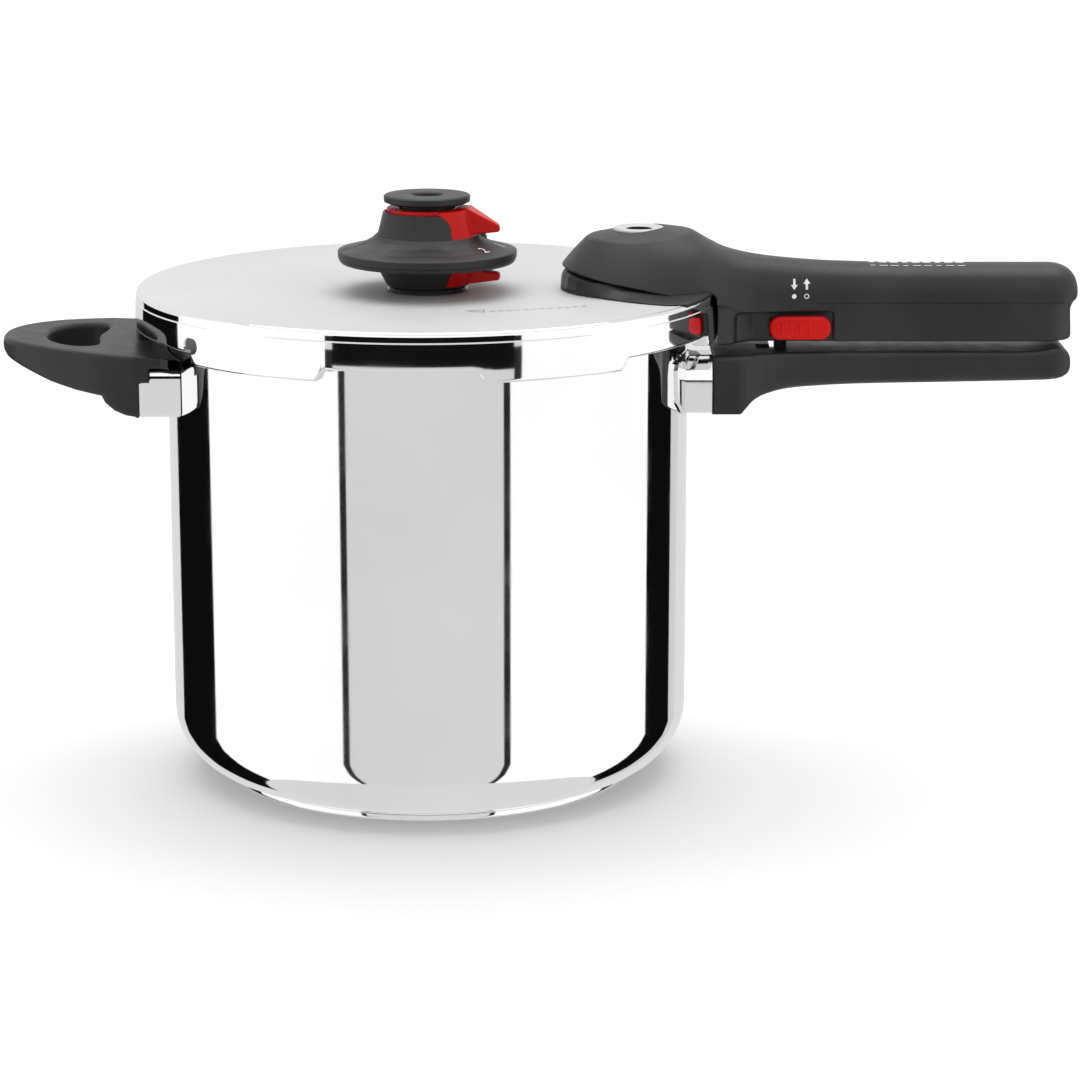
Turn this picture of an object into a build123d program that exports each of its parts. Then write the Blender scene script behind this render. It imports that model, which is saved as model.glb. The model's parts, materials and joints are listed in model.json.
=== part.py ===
from build123d import *
import os
from math import cos, pi, radians, sin

# Stovetop pressure cooker, 22 cm size. Millimetres, +Z up. The origin is the centre of the base, on the
# axis of
# the pot. The two long handles point along +X and the helper handle along -X. The lid is closed.

# ---------------------------------------------------------------- driving dimensions
POT_RADIUS = 111.0
WALL = 1.0
RIM_Z = 203.0
CORNER_RADIUS = 27.0
BASE_THICKNESS = 3.0
BASE_RADIUS = 88.5
BASE_SKIN = 0.6

FLANGE_RADIUS = 116.0
FLARE_RADIUS = 3.0
POT_LUG_RADIUS = 120.8
POT_LUG_BOTTOM_Z = 193.4
POT_LUG_ANGLE = 27.0

LUG_COUNT = 6
LUG_PITCH = 360.0 / LUG_COUNT
FIRST_LUG_ANGLE = -3.4
LID_LUG_ANGLE = 30.0

LID_RADIUS = 124.5
LID_SHEET = 1.2
LID_EDGE_Z = 211.7
LID_CENTRE_Z = 209.0
LID_EDGE_ROUND = 3.5
LID_FLAT_RADIUS = 40.0
LID_LUG_BOTTOM_Z = 191.0
LID_LUG_INNER_RADIUS = 116.8
NOTCH_Z = 195.8

NOSE_X = 90.0
GRIP_HALF_WIDTH = 15.0
GRIP_STEP_Z = 205.5
GRIP_STEP_DEPTH = 1.0
UPPER_BOTTOM_Z = 188.8
SKIRT_GAP = 0.5

LOCK_TRAVEL = 7.0

RUN_GAP = 0.05
FIT_GAP = 0.1
CLEAR_GAP = 0.3


# ---------------------------------------------------------------- shared shapes
def side_face(points):
    """Closed face in the XZ plane through corner points (x, z)."""
    return Plane.XZ * make_face(Polyline(*points, close=True))


def turned(points):
    """Solid of revolution about Z through corner points (radius, z)."""
    return revolve(side_face(points), axis=Axis.Z)


def turned_sector(points, centre, width):
    """Part of a solid of revolution: centre and width are angles in degrees."""
    return Rot(0, 0, centre - width / 2) * revolve(side_face(points), axis=Axis.Z, revolution_arc=width)


def rectangle_outline(inner, outer, low, high):
    return [(inner, low), (outer, low), (outer, high), (inner, high)]


def ring(inner, outer, low, high):
    """Plain ring about Z."""
    return turned(rectangle_outline(inner, outer, low, high))


def rod(radius, low, high):
    """Plain upright cylinder about Z."""
    return Pos(0, 0, (low + high) / 2) * Cylinder(radius, high - low)


def block(low, high):
    """Box between two corners."""
    centre = [(a + b) / 2 for a, b in zip(low, high)]
    size = [b - a for a, b in zip(low, high)]
    return Pos(*centre) * Box(*size)


def side_prism(points, half_width):
    """Side outline (x, z) spread to both sides of the XZ plane."""
    return Pos(0, half_width, 0) * extrude(side_face(points), amount=2 * half_width)


def plan_prism(points, low, high):
    """Plan outline (x, y) raised from low to high."""
    return Pos(0, 0, low) * extrude(make_face(Polyline(*points, close=True)), amount=high - low)


def lug_angles():
    return [FIRST_LUG_ANGLE + LUG_PITCH * step for step in range(LUG_COUNT)]


# ---------------------------------------------------------------- pot and base
def pot_body():
    centre = (POT_RADIUS - CORNER_RADIUS, BASE_THICKNESS + CORNER_RADIUS)
    inside = POT_RADIUS - WALL
    floor_z = BASE_THICKNESS + WALL
    flare = (POT_RADIUS + FLARE_RADIUS, RIM_Z - WALL - FLARE_RADIUS)
    lug_inside = POT_LUG_RADIUS - WALL
    outline = [
        Line((0, BASE_THICKNESS), (centre[0], BASE_THICKNESS)),
        CenterArc(centre, CORNER_RADIUS, -90, 90),
        Line((POT_RADIUS, centre[1]), (POT_RADIUS, flare[1])),
        CenterArc(flare, FLARE_RADIUS, 180, -90),
        Line((flare[0], RIM_Z - WALL), (lug_inside, RIM_Z - WALL)),
        Line((lug_inside, RIM_Z - WALL), (lug_inside, POT_LUG_BOTTOM_Z)),
        Line((lug_inside, POT_LUG_BOTTOM_Z), (POT_LUG_RADIUS, POT_LUG_BOTTOM_Z)),
        Line((POT_LUG_RADIUS, POT_LUG_BOTTOM_Z), (POT_LUG_RADIUS, RIM_Z - WALL)),
        Line((POT_LUG_RADIUS, RIM_Z - WALL), (lug_inside, RIM_Z)),
        Line((lug_inside, RIM_Z), (flare[0], RIM_Z)),
        CenterArc(flare, FLARE_RADIUS + WALL, 90, 90),
        Line((inside, flare[1]), (inside, centre[1])),
        CenterArc(centre, CORNER_RADIUS - WALL, 0, -90),
        Line((centre[0], floor_z), (0, floor_z)),
        Line((0, floor_z), (0, BASE_THICKNESS)),
    ]
    shell = revolve(Plane.XZ * make_face(outline), axis=Axis.Z)
    gap = rectangle_outline(FLANGE_RADIUS, POT_LUG_RADIUS + 5, POT_LUG_BOTTOM_Z - 5, RIM_Z + 5)
    for angle in lug_angles():
        shell -= turned_sector(gap, angle + LUG_PITCH / 2, LUG_PITCH - POT_LUG_ANGLE)
    return shell


def base_core():
    return rod(BASE_RADIUS - 2 * BASE_SKIN, BASE_SKIN, BASE_THICKNESS)


def base_cap():
    inner = BASE_RADIUS - BASE_SKIN
    return turned([
        (0, 0), (BASE_RADIUS - 1, 0), (BASE_RADIUS, 1), (BASE_RADIUS, BASE_THICKNESS),
        (inner, BASE_THICKNESS), (inner, BASE_SKIN), (0, BASE_SKIN),
    ])


# ---------------------------------------------------------------- lid
def lid_outline():
    round_centre = (LID_RADIUS - LID_EDGE_ROUND, LID_EDGE_Z - LID_EDGE_ROUND)
    inside = LID_RADIUS - LID_SHEET
    lug_top = LID_LUG_BOTTOM_Z + LID_SHEET
    return [
        Line((0, LID_CENTRE_Z), (LID_FLAT_RADIUS, LID_CENTRE_Z)),
        Line((LID_FLAT_RADIUS, LID_CENTRE_Z), (round_centre[0], LID_EDGE_Z)),
        CenterArc(round_centre, LID_EDGE_ROUND, 90, -90),
        Line((LID_RADIUS, round_centre[1]), (LID_RADIUS, LID_LUG_BOTTOM_Z)),
        Line((LID_RADIUS, LID_LUG_BOTTOM_Z), (LID_LUG_INNER_RADIUS, LID_LUG_BOTTOM_Z)),
        Line((LID_LUG_INNER_RADIUS, LID_LUG_BOTTOM_Z), (LID_LUG_INNER_RADIUS, lug_top)),
        Line((LID_LUG_INNER_RADIUS, lug_top), (inside, lug_top)),
        Line((inside, lug_top), (inside, round_centre[1])),
        CenterArc(round_centre, LID_EDGE_ROUND - LID_SHEET, 0, 90),
        Line((round_centre[0], LID_EDGE_Z - LID_SHEET), (LID_FLAT_RADIUS, LID_CENTRE_Z - LID_SHEET)),
        Line((LID_FLAT_RADIUS, LID_CENTRE_Z - LID_SHEET), (0, LID_CENTRE_Z - LID_SHEET)),
        Line((0, LID_CENTRE_Z - LID_SHEET), (0, LID_CENTRE_Z)),
    ]


VALVE_HOLE_RADIUS = 6.3
INDICATOR_HOLE_RADIUS = 4.6
SCREW_PLACES = [(67.0, 0.0), (97.0, -20.5), (97.0, 20.5)]
SCREW_HOLE_RADIUS = 2.3
WINDOW_ANGLE = -135.0
WINDOW_Z = 199.0


def lid_shell():
    shell = revolve(Plane.XZ * make_face(lid_outline()), axis=Axis.Z)
    notch = rectangle_outline(LID_LUG_INNER_RADIUS - 5, LID_RADIUS + 5, LID_LUG_BOTTOM_Z - 5, NOTCH_Z)
    for angle in lug_angles():
        shell -= turned_sector(notch, angle + LUG_PITCH / 2, LUG_PITCH - LID_LUG_ANGLE)
    shell -= rod(VALVE_HOLE_RADIUS, LID_CENTRE_Z - 5, LID_CENTRE_Z + 5)
    shell -= Pos(NOSE_X, 0, 0) * rod(INDICATOR_HOLE_RADIUS, 200, 220)
    for x, y in SCREW_PLACES:
        shell -= Pos(x, y, 0) * rod(SCREW_HOLE_RADIUS, 200, 220)
    window = extrude(SlotOverall(9, 6.5), amount=10, both=True)
    shell -= Rot(0, 0, WINDOW_ANGLE) * Pos(LID_RADIUS, 0, WINDOW_Z) * Rot(90, 0, 90) * window
    return shell


GASKET_INNER_RADIUS = 108.6
GASKET_OUTER_RADIUS = 121.4
GASKET_LIP_RADIUS = 111.5


def lid_gasket():
    low = RIM_Z + CLEAR_GAP
    high = LID_EDGE_Z - LID_SHEET - 1.0
    return turned([
        (GASKET_LIP_RADIUS, low),
        (GASKET_OUTER_RADIUS - 1, low),
        (GASKET_OUTER_RADIUS, low + 1),
        (GASKET_OUTER_RADIUS, high - 1),
        (GASKET_OUTER_RADIUS - 1, high),
        (GASKET_INNER_RADIUS, high),
        (GASKET_INNER_RADIUS, high - 1.8),
        (GASKET_LIP_RADIUS + 3, high - 2.2),
        (GASKET_LIP_RADIUS + 3, low + 1.6),
        (GASKET_LIP_RADIUS, low + 1.6),
    ])


# ---------------------------------------------------------------- working valve on the lid
PIPE_RADIUS = 6.0
PIPE_BORE = 2.5
PIPE_TOP_Z = 231.0
CORE_RADIUS = 16.0
DIAL_RADIUS = 37.0
DIAL_LOW_Z = 221.8
DIAL_RIM_Z = 226.0
DIAL_TOP_Z = 231.4
CONE_TOP_Z = 243.2
CAP_TOP_Z = 250.0
CAP_RADIUS = 18.4
NECK_RADIUS = 11.0
POINTER_ANGLE = -7.0
POINTER_REACH = 31.0
WEDGE_HALF_ANGLE = 52.0
ARM_ROOT = 14.0
ARM_HALF_WIDTH = 6.5
UPPER_ARM_LOW_Z = 232.4
CAP_STEM_LOW_Z = CONE_TOP_Z - 2.8


def valve_base_ring():
    low = LID_CENTRE_Z
    return turned([
        (PIPE_RADIUS + 4.5, low), (17.0, low), (17.3, low + 0.4), (17.3, low + 1.2), (16.6, low + 2.2),
        (PIPE_RADIUS + 4.5, low + 2.2),
    ])


def valve_pipe():
    flange_low = LID_CENTRE_Z
    pipe = ring(PIPE_BORE, PIPE_RADIUS, LID_CENTRE_Z - 12, PIPE_TOP_Z)
    hexagon = extrude(RegularPolygon(10.0, 6), amount=3.0)
    flange = Pos(0, 0, flange_low) * hexagon - rod(PIPE_RADIUS - 1, flange_low - 1, flange_low + 4)
    return pipe + flange


def valve_washer():
    high = LID_CENTRE_Z - LID_SHEET
    return ring(PIPE_RADIUS + FIT_GAP, 11.0, high - 1.5, high)


def valve_nut():
    high = LID_CENTRE_Z - LID_SHEET - 1.5
    nut = Pos(0, 0, high - 5) * extrude(RegularPolygon(10.5, 6), amount=5)
    return nut - rod(PIPE_RADIUS + FIT_GAP, high - 6, high + 1)


def lower_cone():
    """Lower half of the valve body, with the tube that the dial turns on."""
    low = LID_CENTRE_Z + 2.4
    high = DIAL_LOW_Z - 0.4
    bore = 11.8
    return turned([
        (bore, low), (17.4, low), (20.2, low + 5.2), (23.0, high),
        (CORE_RADIUS, high), (CORE_RADIUS, DIAL_TOP_Z), (bore, DIAL_TOP_Z),
    ])


def upper_cone():
    """Upper half of the valve body, hollow over the spring."""
    low = DIAL_TOP_Z + 0.3
    bore = PIPE_RADIUS + 2.5
    stem_bore = NECK_RADIUS + FIT_GAP
    shoulder = CAP_STEM_LOW_Z - FIT_GAP
    cone = turned([
        (bore, low), (21.6, low), (18.6, CONE_TOP_Z - 0.8), (17.8, CONE_TOP_Z), (stem_bore, CONE_TOP_Z),
        (stem_bore, shoulder), (bore, shoulder),
    ])
    cone -= ring(stem_bore - 1, 17.0 + FIT_GAP, CONE_TOP_Z - 1.4 - FIT_GAP, CONE_TOP_Z + 2.0)
    return cone - pointer_wedge(DIAL_TOP_Z, CONE_TOP_Z + 1, 22.4, 19.4, 0.5)


def pointer_wedge(low, high, low_radius, high_radius, grow):
    """Wedge of a cone between two heights, a little wider than the arm that stands on it."""
    return turned_sector([
        (12.5, low), (low_radius, low), (high_radius, high), (12.5, high),
    ], POINTER_ANGLE, 2 * (WEDGE_HALF_ANGLE + grow))


def pointer_arm(top_z, tip_top_z, low_z, tip_low_z):
    """Tapered finger that reaches over or under the dial."""
    outline = [
        (ARM_ROOT, low_z), (POINTER_REACH, tip_low_z), (POINTER_REACH + 0.4, tip_top_z), (17.0, top_z),
        (ARM_ROOT, top_z),
    ]
    plan = mirrored([(10.0, ARM_HALF_WIDTH), (19.0, 6.0), (POINTER_REACH, 2.2), (POINTER_REACH + 0.8, 0.1)])
    arm = side_prism(outline, 8) & plan_prism(plan, 200, 260)
    return Rot(0, 0, POINTER_ANGLE) * arm


def pointer():
    body = turned([
        (12.0, CONE_TOP_Z - 1.3), (16.9, CONE_TOP_Z - 1.3), (16.9, CONE_TOP_Z + 0.4),
        (16.0, CONE_TOP_Z + 1.0),
        (12.0, CONE_TOP_Z + 1.0),
    ])
    wedge = pointer_wedge(DIAL_TOP_Z + 0.4, CONE_TOP_Z + 1.0, 21.9, 18.6, 0.0)
    arm = pointer_arm(CONE_TOP_Z + 1.2, 237.0, UPPER_ARM_LOW_Z, 233.4)
    return body + wedge + arm


def lower_pointer():
    low = LID_CENTRE_Z + 3.0
    high = DIAL_LOW_Z - 0.9
    wedge = turned_sector([(ARM_ROOT, low), (17.9, low), (21.0, low + 5.2), (23.2, high), (ARM_ROOT, high)],
                          POINTER_ANGLE, 2 * WEDGE_HALF_ANGLE)
    arm = pointer_arm(high, high - 1.5, low + 1.2, low + 4.5)
    return wedge + arm


def lower_body():
    """Lower cone with the seat of the lower pointer cut out."""
    seat = rectangle_outline(ARM_ROOT - FIT_GAP, 40, LID_CENTRE_Z + 2.9, DIAL_LOW_Z - 0.8)
    return lower_cone() - turned_sector(seat, POINTER_ANGLE, 2 * (WEDGE_HALF_ANGLE + 0.5))


def dial():
    bore = CORE_RADIUS + RUN_GAP
    disc = turned([
        (bore, DIAL_LOW_Z + 1.6), (32.0, DIAL_LOW_Z + 1.6), (34.0, DIAL_LOW_Z + 0.2), (36.0, DIAL_LOW_Z),
        (36.6, DIAL_LOW_Z + 1.4), (36.2, DIAL_LOW_Z + 1.8), (DIAL_RADIUS, DIAL_LOW_Z + 2.2),
        (DIAL_RADIUS, DIAL_RIM_Z - 0.5),
        (DIAL_RADIUS - 0.7, DIAL_RIM_Z), (28.0, DIAL_RIM_Z + 2.6), (22.6, DIAL_TOP_Z - 0.6),
        (21.8, DIAL_TOP_Z),
        (bore, DIAL_TOP_Z),
    ])
    bump = Pos(25.5, 3.0, 229.6) * Sphere(2.0) & rod(30, DIAL_TOP_Z - 4, DIAL_TOP_Z + 0.6)
    return disc + bump


def valve_cap():
    """Screw cap that closes the valve from above,
    with a hexagon recess and a hollow stem round the spring."""
    low = CONE_TOP_Z + 1.2
    cap = turned([
        (0, CAP_TOP_Z - 3.0), (7.6, CAP_TOP_Z - 3.0), (7.6, CAP_STEM_LOW_Z), (NECK_RADIUS, CAP_STEM_LOW_Z),
        (NECK_RADIUS, low + 2.2), (CAP_RADIUS - 2.2, low + 2.2), (CAP_RADIUS, low + 3.4),
        (CAP_RADIUS, CAP_TOP_Z - 0.8),
        (CAP_RADIUS - 0.8, CAP_TOP_Z), (0, CAP_TOP_Z),
    ])
    recess = Pos(0, 0, CAP_TOP_Z - 1.8) * extrude(RegularPolygon(5.0, 6), amount=5)
    return cap - recess


def poppet():
    """Plug on the steam pipe: a seat disc, a needle in the bore and a stem up the spring."""
    seat = PIPE_TOP_Z + 0.05
    return turned([
        (0, seat - 6), (PIPE_BORE - 0.4, seat - 5), (PIPE_BORE - 0.4, seat), (5.5, seat), (5.5, seat + 2.0),
        (2.4, seat + 2.6), (2.4, seat + 6.0), (0, seat + 6.0),
    ])


SPRING_LOW_Z = PIPE_TOP_Z + 2.65
SPRING_HIGH_Z = CAP_TOP_Z - 3.05


def coil_spring(radius, wire, low, high, turns):
    path = Helix(pitch=(high - low - wire) / turns, height=high - low - wire, radius=radius)
    section = Plane(path @ 0, z_dir=path % 0) * Circle(wire / 2)
    return Pos(0, 0, low + wire / 2) * sweep(section, path=path, is_frenet=True)


def valve_spring():
    return coil_spring(4.2, 0.9, SPRING_LOW_Z + 0.2, SPRING_HIGH_Z - 0.2, 5)


# ---------------------------------------------------------------- nose and upper handle
NOSE_TIP_X = 56.0
SEAM_TIP_Z = 220.0
SEAM_SLOPE = 0.165
BRIM_Z = 212.9
NOSE_BASE_EDGE = [
    (57.5, 9.0), (61.0, 17.0), (67.0, 25.0), (75.0, 34.0), (84.0, 42.5), (93.0, 49.0), (101.0, 51.5),
    (110.0, 52.0),
]
UPPER_STATIONS = [
    # x, half width, top z
    (56.3, 5.0, 222.0), (58.5, 12.0, 226.0), (62.0, 19.0, 229.9), (69.0, 27.0, 233.2), (79.0, 33.5, 235.0),
    (91.0, 36.0, 235.4), (102.0, 35.0, 234.7), (112.0, 31.0, 232.8), (121.0, 26.0, 229.6),
    (130.0, 21.5, 226.2),
    (140.0, 18.0, 224.0), (155.0, 15.8, 222.4), (175.0, GRIP_HALF_WIDTH, 221.2),
    (205.0, GRIP_HALF_WIDTH, 220.6),
    (245.0, GRIP_HALF_WIDTH, 220.5), (277.5, GRIP_HALF_WIDTH, 220.5),
]
SECTION_POWER = 2.6
SECTION_STEPS = 8


def seam_z(x):
    """Height of the seam between the nose and its base."""
    return SEAM_TIP_Z - SEAM_SLOPE * (x - NOSE_TIP_X)


def arch_section(x, half_width, spring_z, crown_z, end_z, power=SECTION_POWER):
    """Closed section across a handle: straight sides from end_z to spring_z,
    then an arch over to crown_z."""
    points = []
    for step in range(SECTION_STEPS + 1):
        angle = pi * step / SECTION_STEPS
        across = abs(cos(angle)) ** (2 / power) * (1 if cos(angle) >= 0 else -1)
        up = sin(angle) ** (2 / power) if 0 < step < SECTION_STEPS else 0.0
        points.append((x, half_width * across, spring_z + (crown_z - spring_z) * up))
    rise = 1 if crown_z > spring_z else -1
    arch = Spline(*points, tangents=[(0, 0, rise), (0, 0, -rise)])
    first, last = points[0], points[-1]
    right, left = (x, first[1], end_z), (x, last[1], end_z)
    return make_face([Line(right, first), arch, Line(last, left), Line(left, right)])


def upper_spring_z(x):
    """Height at which the sides of the upper handle start to arch over."""
    return max(seam_z(x) - 1.0, GRIP_STEP_Z + 1.5) if x < 135 else GRIP_STEP_Z + 1.5


def upper_blank():
    sections = [
        arch_section(x, half_width, upper_spring_z(x), top, UPPER_BOTTOM_Z)
        for x, half_width, top in UPPER_STATIONS
    ]
    return loft(sections, ruled=True)


def mirrored(points):
    """Closed outline from its half on one side of the x axis."""
    return points + [(x, -y) for x, y in reversed(points)]


def upper_end_profile():
    """Side outline that rounds the far end of the upper handle."""
    return [
        (50, UPPER_BOTTOM_Z - 1), (271.5, UPPER_BOTTOM_Z - 1), (274.0, 190.8), (274.2, 203.6),
        (276.2, 206.4),
        (276.7, 209.5), (275.6, 213.0), (272.9, 216.6), (268.5, 219.2), (262.0, 220.3), (250, 225),
        (240, 240),
        (50, 240),
    ]


def grip_plan(inset):
    """Plan outline of the grip, from the lid outwards."""
    half = GRIP_HALF_WIDTH - inset
    wide = [(x, half_width - inset) for x, half_width, top in UPPER_STATIONS if 110 < x < 200]
    return mirrored(wide + [(266.0, half), (272.5, half - 3.0), (276.0, half - 7.5),
                            (276.9 - inset, half - 11.5)])


def lid_space(gap):
    """Everything under the lid's outer surface, for fitting other pieces to it."""
    round_centre = (LID_RADIUS - LID_EDGE_ROUND, LID_EDGE_Z - LID_EDGE_ROUND)
    outline = [
        Line((0, 150), (LID_RADIUS + gap, 150)),
        Line((LID_RADIUS + gap, 150), (LID_RADIUS + gap, round_centre[1])),
        CenterArc(round_centre, LID_EDGE_ROUND + gap, 0, 90),
        Line((round_centre[0], LID_EDGE_Z + gap), (LID_FLAT_RADIUS, LID_CENTRE_Z + gap)),
        Line((LID_FLAT_RADIUS, LID_CENTRE_Z + gap), (0, LID_CENTRE_Z + gap)),
        Line((0, LID_CENTRE_Z + gap), (0, 150)),
    ]
    return revolve(Plane.XZ * make_face(outline), axis=Axis.Z)


def below_seam():
    """Space under the sloping seam, inside the lid's edge."""
    far = 130.0
    under = side_prism([(40, 150), (far, 150), (far, seam_z(far)), (40, seam_z(40))], 80)
    return under & rod(LID_RADIUS - 1.0, 140, 260)


CAVITY_HALF_WIDTH = 11.0
CAVITY_TOP_Z = 210.0
CAVITY = (130.0, 262.0)
COVER_THICKNESS = 2.0
BUTTON = (145.0, 171.0)
BUTTON_Z = (189.9, 200.0)
BOLT_SLOT = (139.5, 155.0)
BOLT_SLOT_HALF = 4.6
COVER_SCREW_X = (182.0, 250.0)
COVER_SCREW_RADIUS = 1.5


def upper_handle():
    body = upper_blank() & side_prism(upper_end_profile(), 60)
    above = body - block((127, -60, 150), (300, 60, GRIP_STEP_Z))
    above &= block((40, -60, 150), (127, 60, 260)) + plan_prism(grip_plan(0), 150, 260)
    below = body & plan_prism(grip_plan(GRIP_STEP_DEPTH), 150, 260) & block((120, -60, 150),
                                                                            (300, 60, GRIP_STEP_Z))
    body = above + below
    body -= below_seam()
    body -= lid_space(SKIRT_GAP)
    body -= block((CAVITY[0], -CAVITY_HALF_WIDTH, 180), (CAVITY[1], CAVITY_HALF_WIDTH, CAVITY_TOP_Z))
    body -= Pos(NOSE_X, 0, 0) * rod(17.5, 200, 230.5)
    body -= Pos(NOSE_X, 0, 0) * rod(8.6, 220, 233.6)
    body -= Pos(NOSE_X, 0, 0) * rod(10.6, 233.4, 240)
    slot = block((BUTTON[0] - LOCK_TRAVEL + 4, -40, 191.4), (BUTTON[1] - 4 + CLEAR_GAP, 0, 198.6))
    scoop = block((BUTTON[0] - LOCK_TRAVEL - 1, -40, 180), (BUTTON[1] + 1, -GRIP_HALF_WIDTH + 2.2, 203.5))
    body -= slot + scoop
    for x, y in SCREW_PLACES:
        body -= Pos(x, y, 0) * rod(1.9, 205, 226)
    for x in COVER_SCREW_X:
        body += Pos(x, 0, 0) * ring(COVER_SCREW_RADIUS, 4.0, UPPER_BOTTOM_Z + COVER_THICKNESS,
                                    CAVITY_TOP_Z + 1)
    return body


def nose_base():
    """Flared plate between the lid and the nose."""
    edge = mirrored(NOSE_BASE_EDGE + [(122.0, 48.0)])
    inner = [(max(x, NOSE_TIP_X + 1.5), y * 0.68) for x, y in edge]
    outline = make_face(Polyline(*edge, close=True))
    bottom = Pos(0, 0, 207.0) * outline
    brim = Pos(0, 0, BRIM_Z) * outline
    top = make_face(Polyline(*[(x, y, seam_z(x) - 0.1) for x, y in inner], close=True))
    plate = loft([bottom, brim], ruled=True) + loft([brim, top], ruled=True)
    plate &= rod(LID_RADIUS - 0.6, 190, 260)
    plate -= lid_space(0.05)
    plate -= Pos(NOSE_X, 0, 0) * rod(15.0, 200, 230)
    for x, y in SCREW_PLACES:
        plate -= Pos(x, y, 0) * rod(SCREW_HOLE_RADIUS, 200, 230)
    return plate


def bottom_cover():
    """Plate that closes the mechanism's space from below, with the slot for the bolt's tongue."""
    top = UPPER_BOTTOM_Z + COVER_THICKNESS
    half = CAVITY_HALF_WIDTH - FIT_GAP
    plate = block((CAVITY[0] + FIT_GAP, -half, UPPER_BOTTOM_Z), (CAVITY[1] - FIT_GAP, half, top - 0.05))
    plate -= block((BOLT_SLOT[0], -BOLT_SLOT_HALF, UPPER_BOTTOM_Z - 1),
                   (BOLT_SLOT[1], BOLT_SLOT_HALF, top + 1))
    for x in COVER_SCREW_X:
        plate -= Pos(x, 0, 0) * turned([
            (0, UPPER_BOTTOM_Z - 1), (3.2, UPPER_BOTTOM_Z - 1), (3.2, UPPER_BOTTOM_Z + 0.2),
            (1.7, top - 0.3),
            (1.7, top + 1), (0, top + 1),
        ])
    return plate


def screw(head_radius, shank_radius, head_z, head_height, tip_z):
    """Countersunk screw pointing up, with a cross recess in its head."""
    body = turned([
        (0, head_z), (head_radius, head_z), (shank_radius, head_z + head_height), (shank_radius, tip_z - 1),
        (shank_radius * 0.5, tip_z), (0, tip_z),
    ])
    for angle in (0, 90):
        slot = Box(head_radius * 1.1, head_radius * 0.28, head_height)
        body -= Pos(0, 0, head_z + head_height * 0.1) * Rot(0, 0, angle) * slot
    return body


def bottom_cover_screws():
    fastener = screw(3.0, COVER_SCREW_RADIUS - 0.05, UPPER_BOTTOM_Z + 0.3, 1.3, 204.0)
    return [Pos(x, 0, 0) * fastener for x in COVER_SCREW_X]


def lid_top_z(radius):
    """Height of the lid's outer surface at a radius inside its rounded edge."""
    slope = (LID_EDGE_Z - LID_CENTRE_Z) / (LID_RADIUS - LID_EDGE_ROUND - LID_FLAT_RADIUS)
    return LID_CENTRE_Z + slope * max(0.0, radius - LID_FLAT_RADIUS)


def lid_handle_screws():
    """Pan-head screws from inside the lid into the nose."""
    screws = []
    for x, y in SCREW_PLACES:
        high = lid_top_z((x * x + y * y) ** 0.5 - 4.2) - LID_SHEET - 0.1
        fastener = turned([
            (0, high - 2.4), (3.4, high - 2.4), (4.2, high - 1.2), (4.2, high), (1.8, high),
            (1.8, 222.0), (1.0, 223.5),
            (0, 223.5),
        ])
        fastener -= Pos(0, 0, high - 2.4) * Box(5.0, 1.0, 1.8)
        screws.append(Pos(x, y, 0) * fastener)
    return screws


# ---------------------------------------------------------------- lock
BOLT_THICKNESS = 1.6
BOLT_HALF_WIDTH = 8.0
TONGUE = (148.0, 153.0)
TONGUE_HALF = 4.0
TONGUE_LOW_Z = 181.5
DETENT_X = 157.0
BUTTON_FLOOR_Y = -GRIP_HALF_WIDTH + 2.2
PEG_X = 160.0


def lock_button():
    """Pill that stands out of the handle's near side, with a stem into the handle."""
    length = BUTTON[1] - BUTTON[0]
    height = BUTTON_Z[1] - BUTTON_Z[0]
    centre = (sum(BUTTON) / 2, sum(BUTTON_Z) / 2)
    pill = extrude(Plane.XZ * Pos(*centre) * RectangleRounded(length, height, 4.4), amount=4.0)
    pill = chamfer(pill.faces().sort_by(Axis.Y)[0].edges(), 1.3)
    pill = Pos(0, BUTTON_FLOOR_Y - 0.35, 0) * pill
    stem = block((BUTTON[0] + 4.3, BUTTON_FLOOR_Y - 1, 193.0), (BUTTON[1] - 4.3, -4.5, 198.0))
    peg = Pos(PEG_X, -6.2, 0) * rod(1.2, 191.3, 194)
    return pill + stem + peg


def lock_bolt():
    """Steel strip that slides on the bottom cover, its tongue reaching down into the lower handle."""
    low = UPPER_BOTTOM_Z + COVER_THICKNESS + 0.1
    strip = block((138.0, -BOLT_HALF_WIDTH, low), (174.0, BOLT_HALF_WIDTH, low + BOLT_THICKNESS))
    strip += block((TONGUE[0], -TONGUE_HALF, TONGUE_LOW_Z), (TONGUE[1], TONGUE_HALF, low + 0.5))
    strip -= Pos(PEG_X, -6.2, 0) * rod(1.3, low - 1, low + 3)
    for x in (DETENT_X, DETENT_X + LOCK_TRAVEL):
        strip -= Pos(x, BOLT_HALF_WIDTH + 0.4, 0) * rod(1.3, low - 1, low + 3)
    return strip


def detent_spring():
    """Bent leaf spring whose crest holds the bolt at either end of its travel."""
    wall = CAVITY_HALF_WIDTH - 0.1
    crest = BOLT_HALF_WIDTH + 0.35
    leaf = 0.4
    outer = [(DETENT_X - 10, wall), (DETENT_X - 3, crest + leaf + 0.9), (DETENT_X, crest + leaf),
             (DETENT_X + 3, crest + leaf + 0.9), (DETENT_X + 10, wall)]
    inner = [(x, y - leaf) for x, y in reversed(outer)]
    return plan_prism(outer + inner, 191.1, 196.5)


# ---------------------------------------------------------------- pressure indicator
PIN_RADIUS = 3.0
PIN_HEAD_RADIUS = 4.9
PIN_HEAD_LOW_Z = 226.0
PIN_TOP_Z = 230.4
GUIDE_LOW_Z = 206.0
RING_TOP_Z = 235.6


def at_nose(shape):
    return Pos(NOSE_X, 0, 0) * shape


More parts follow.
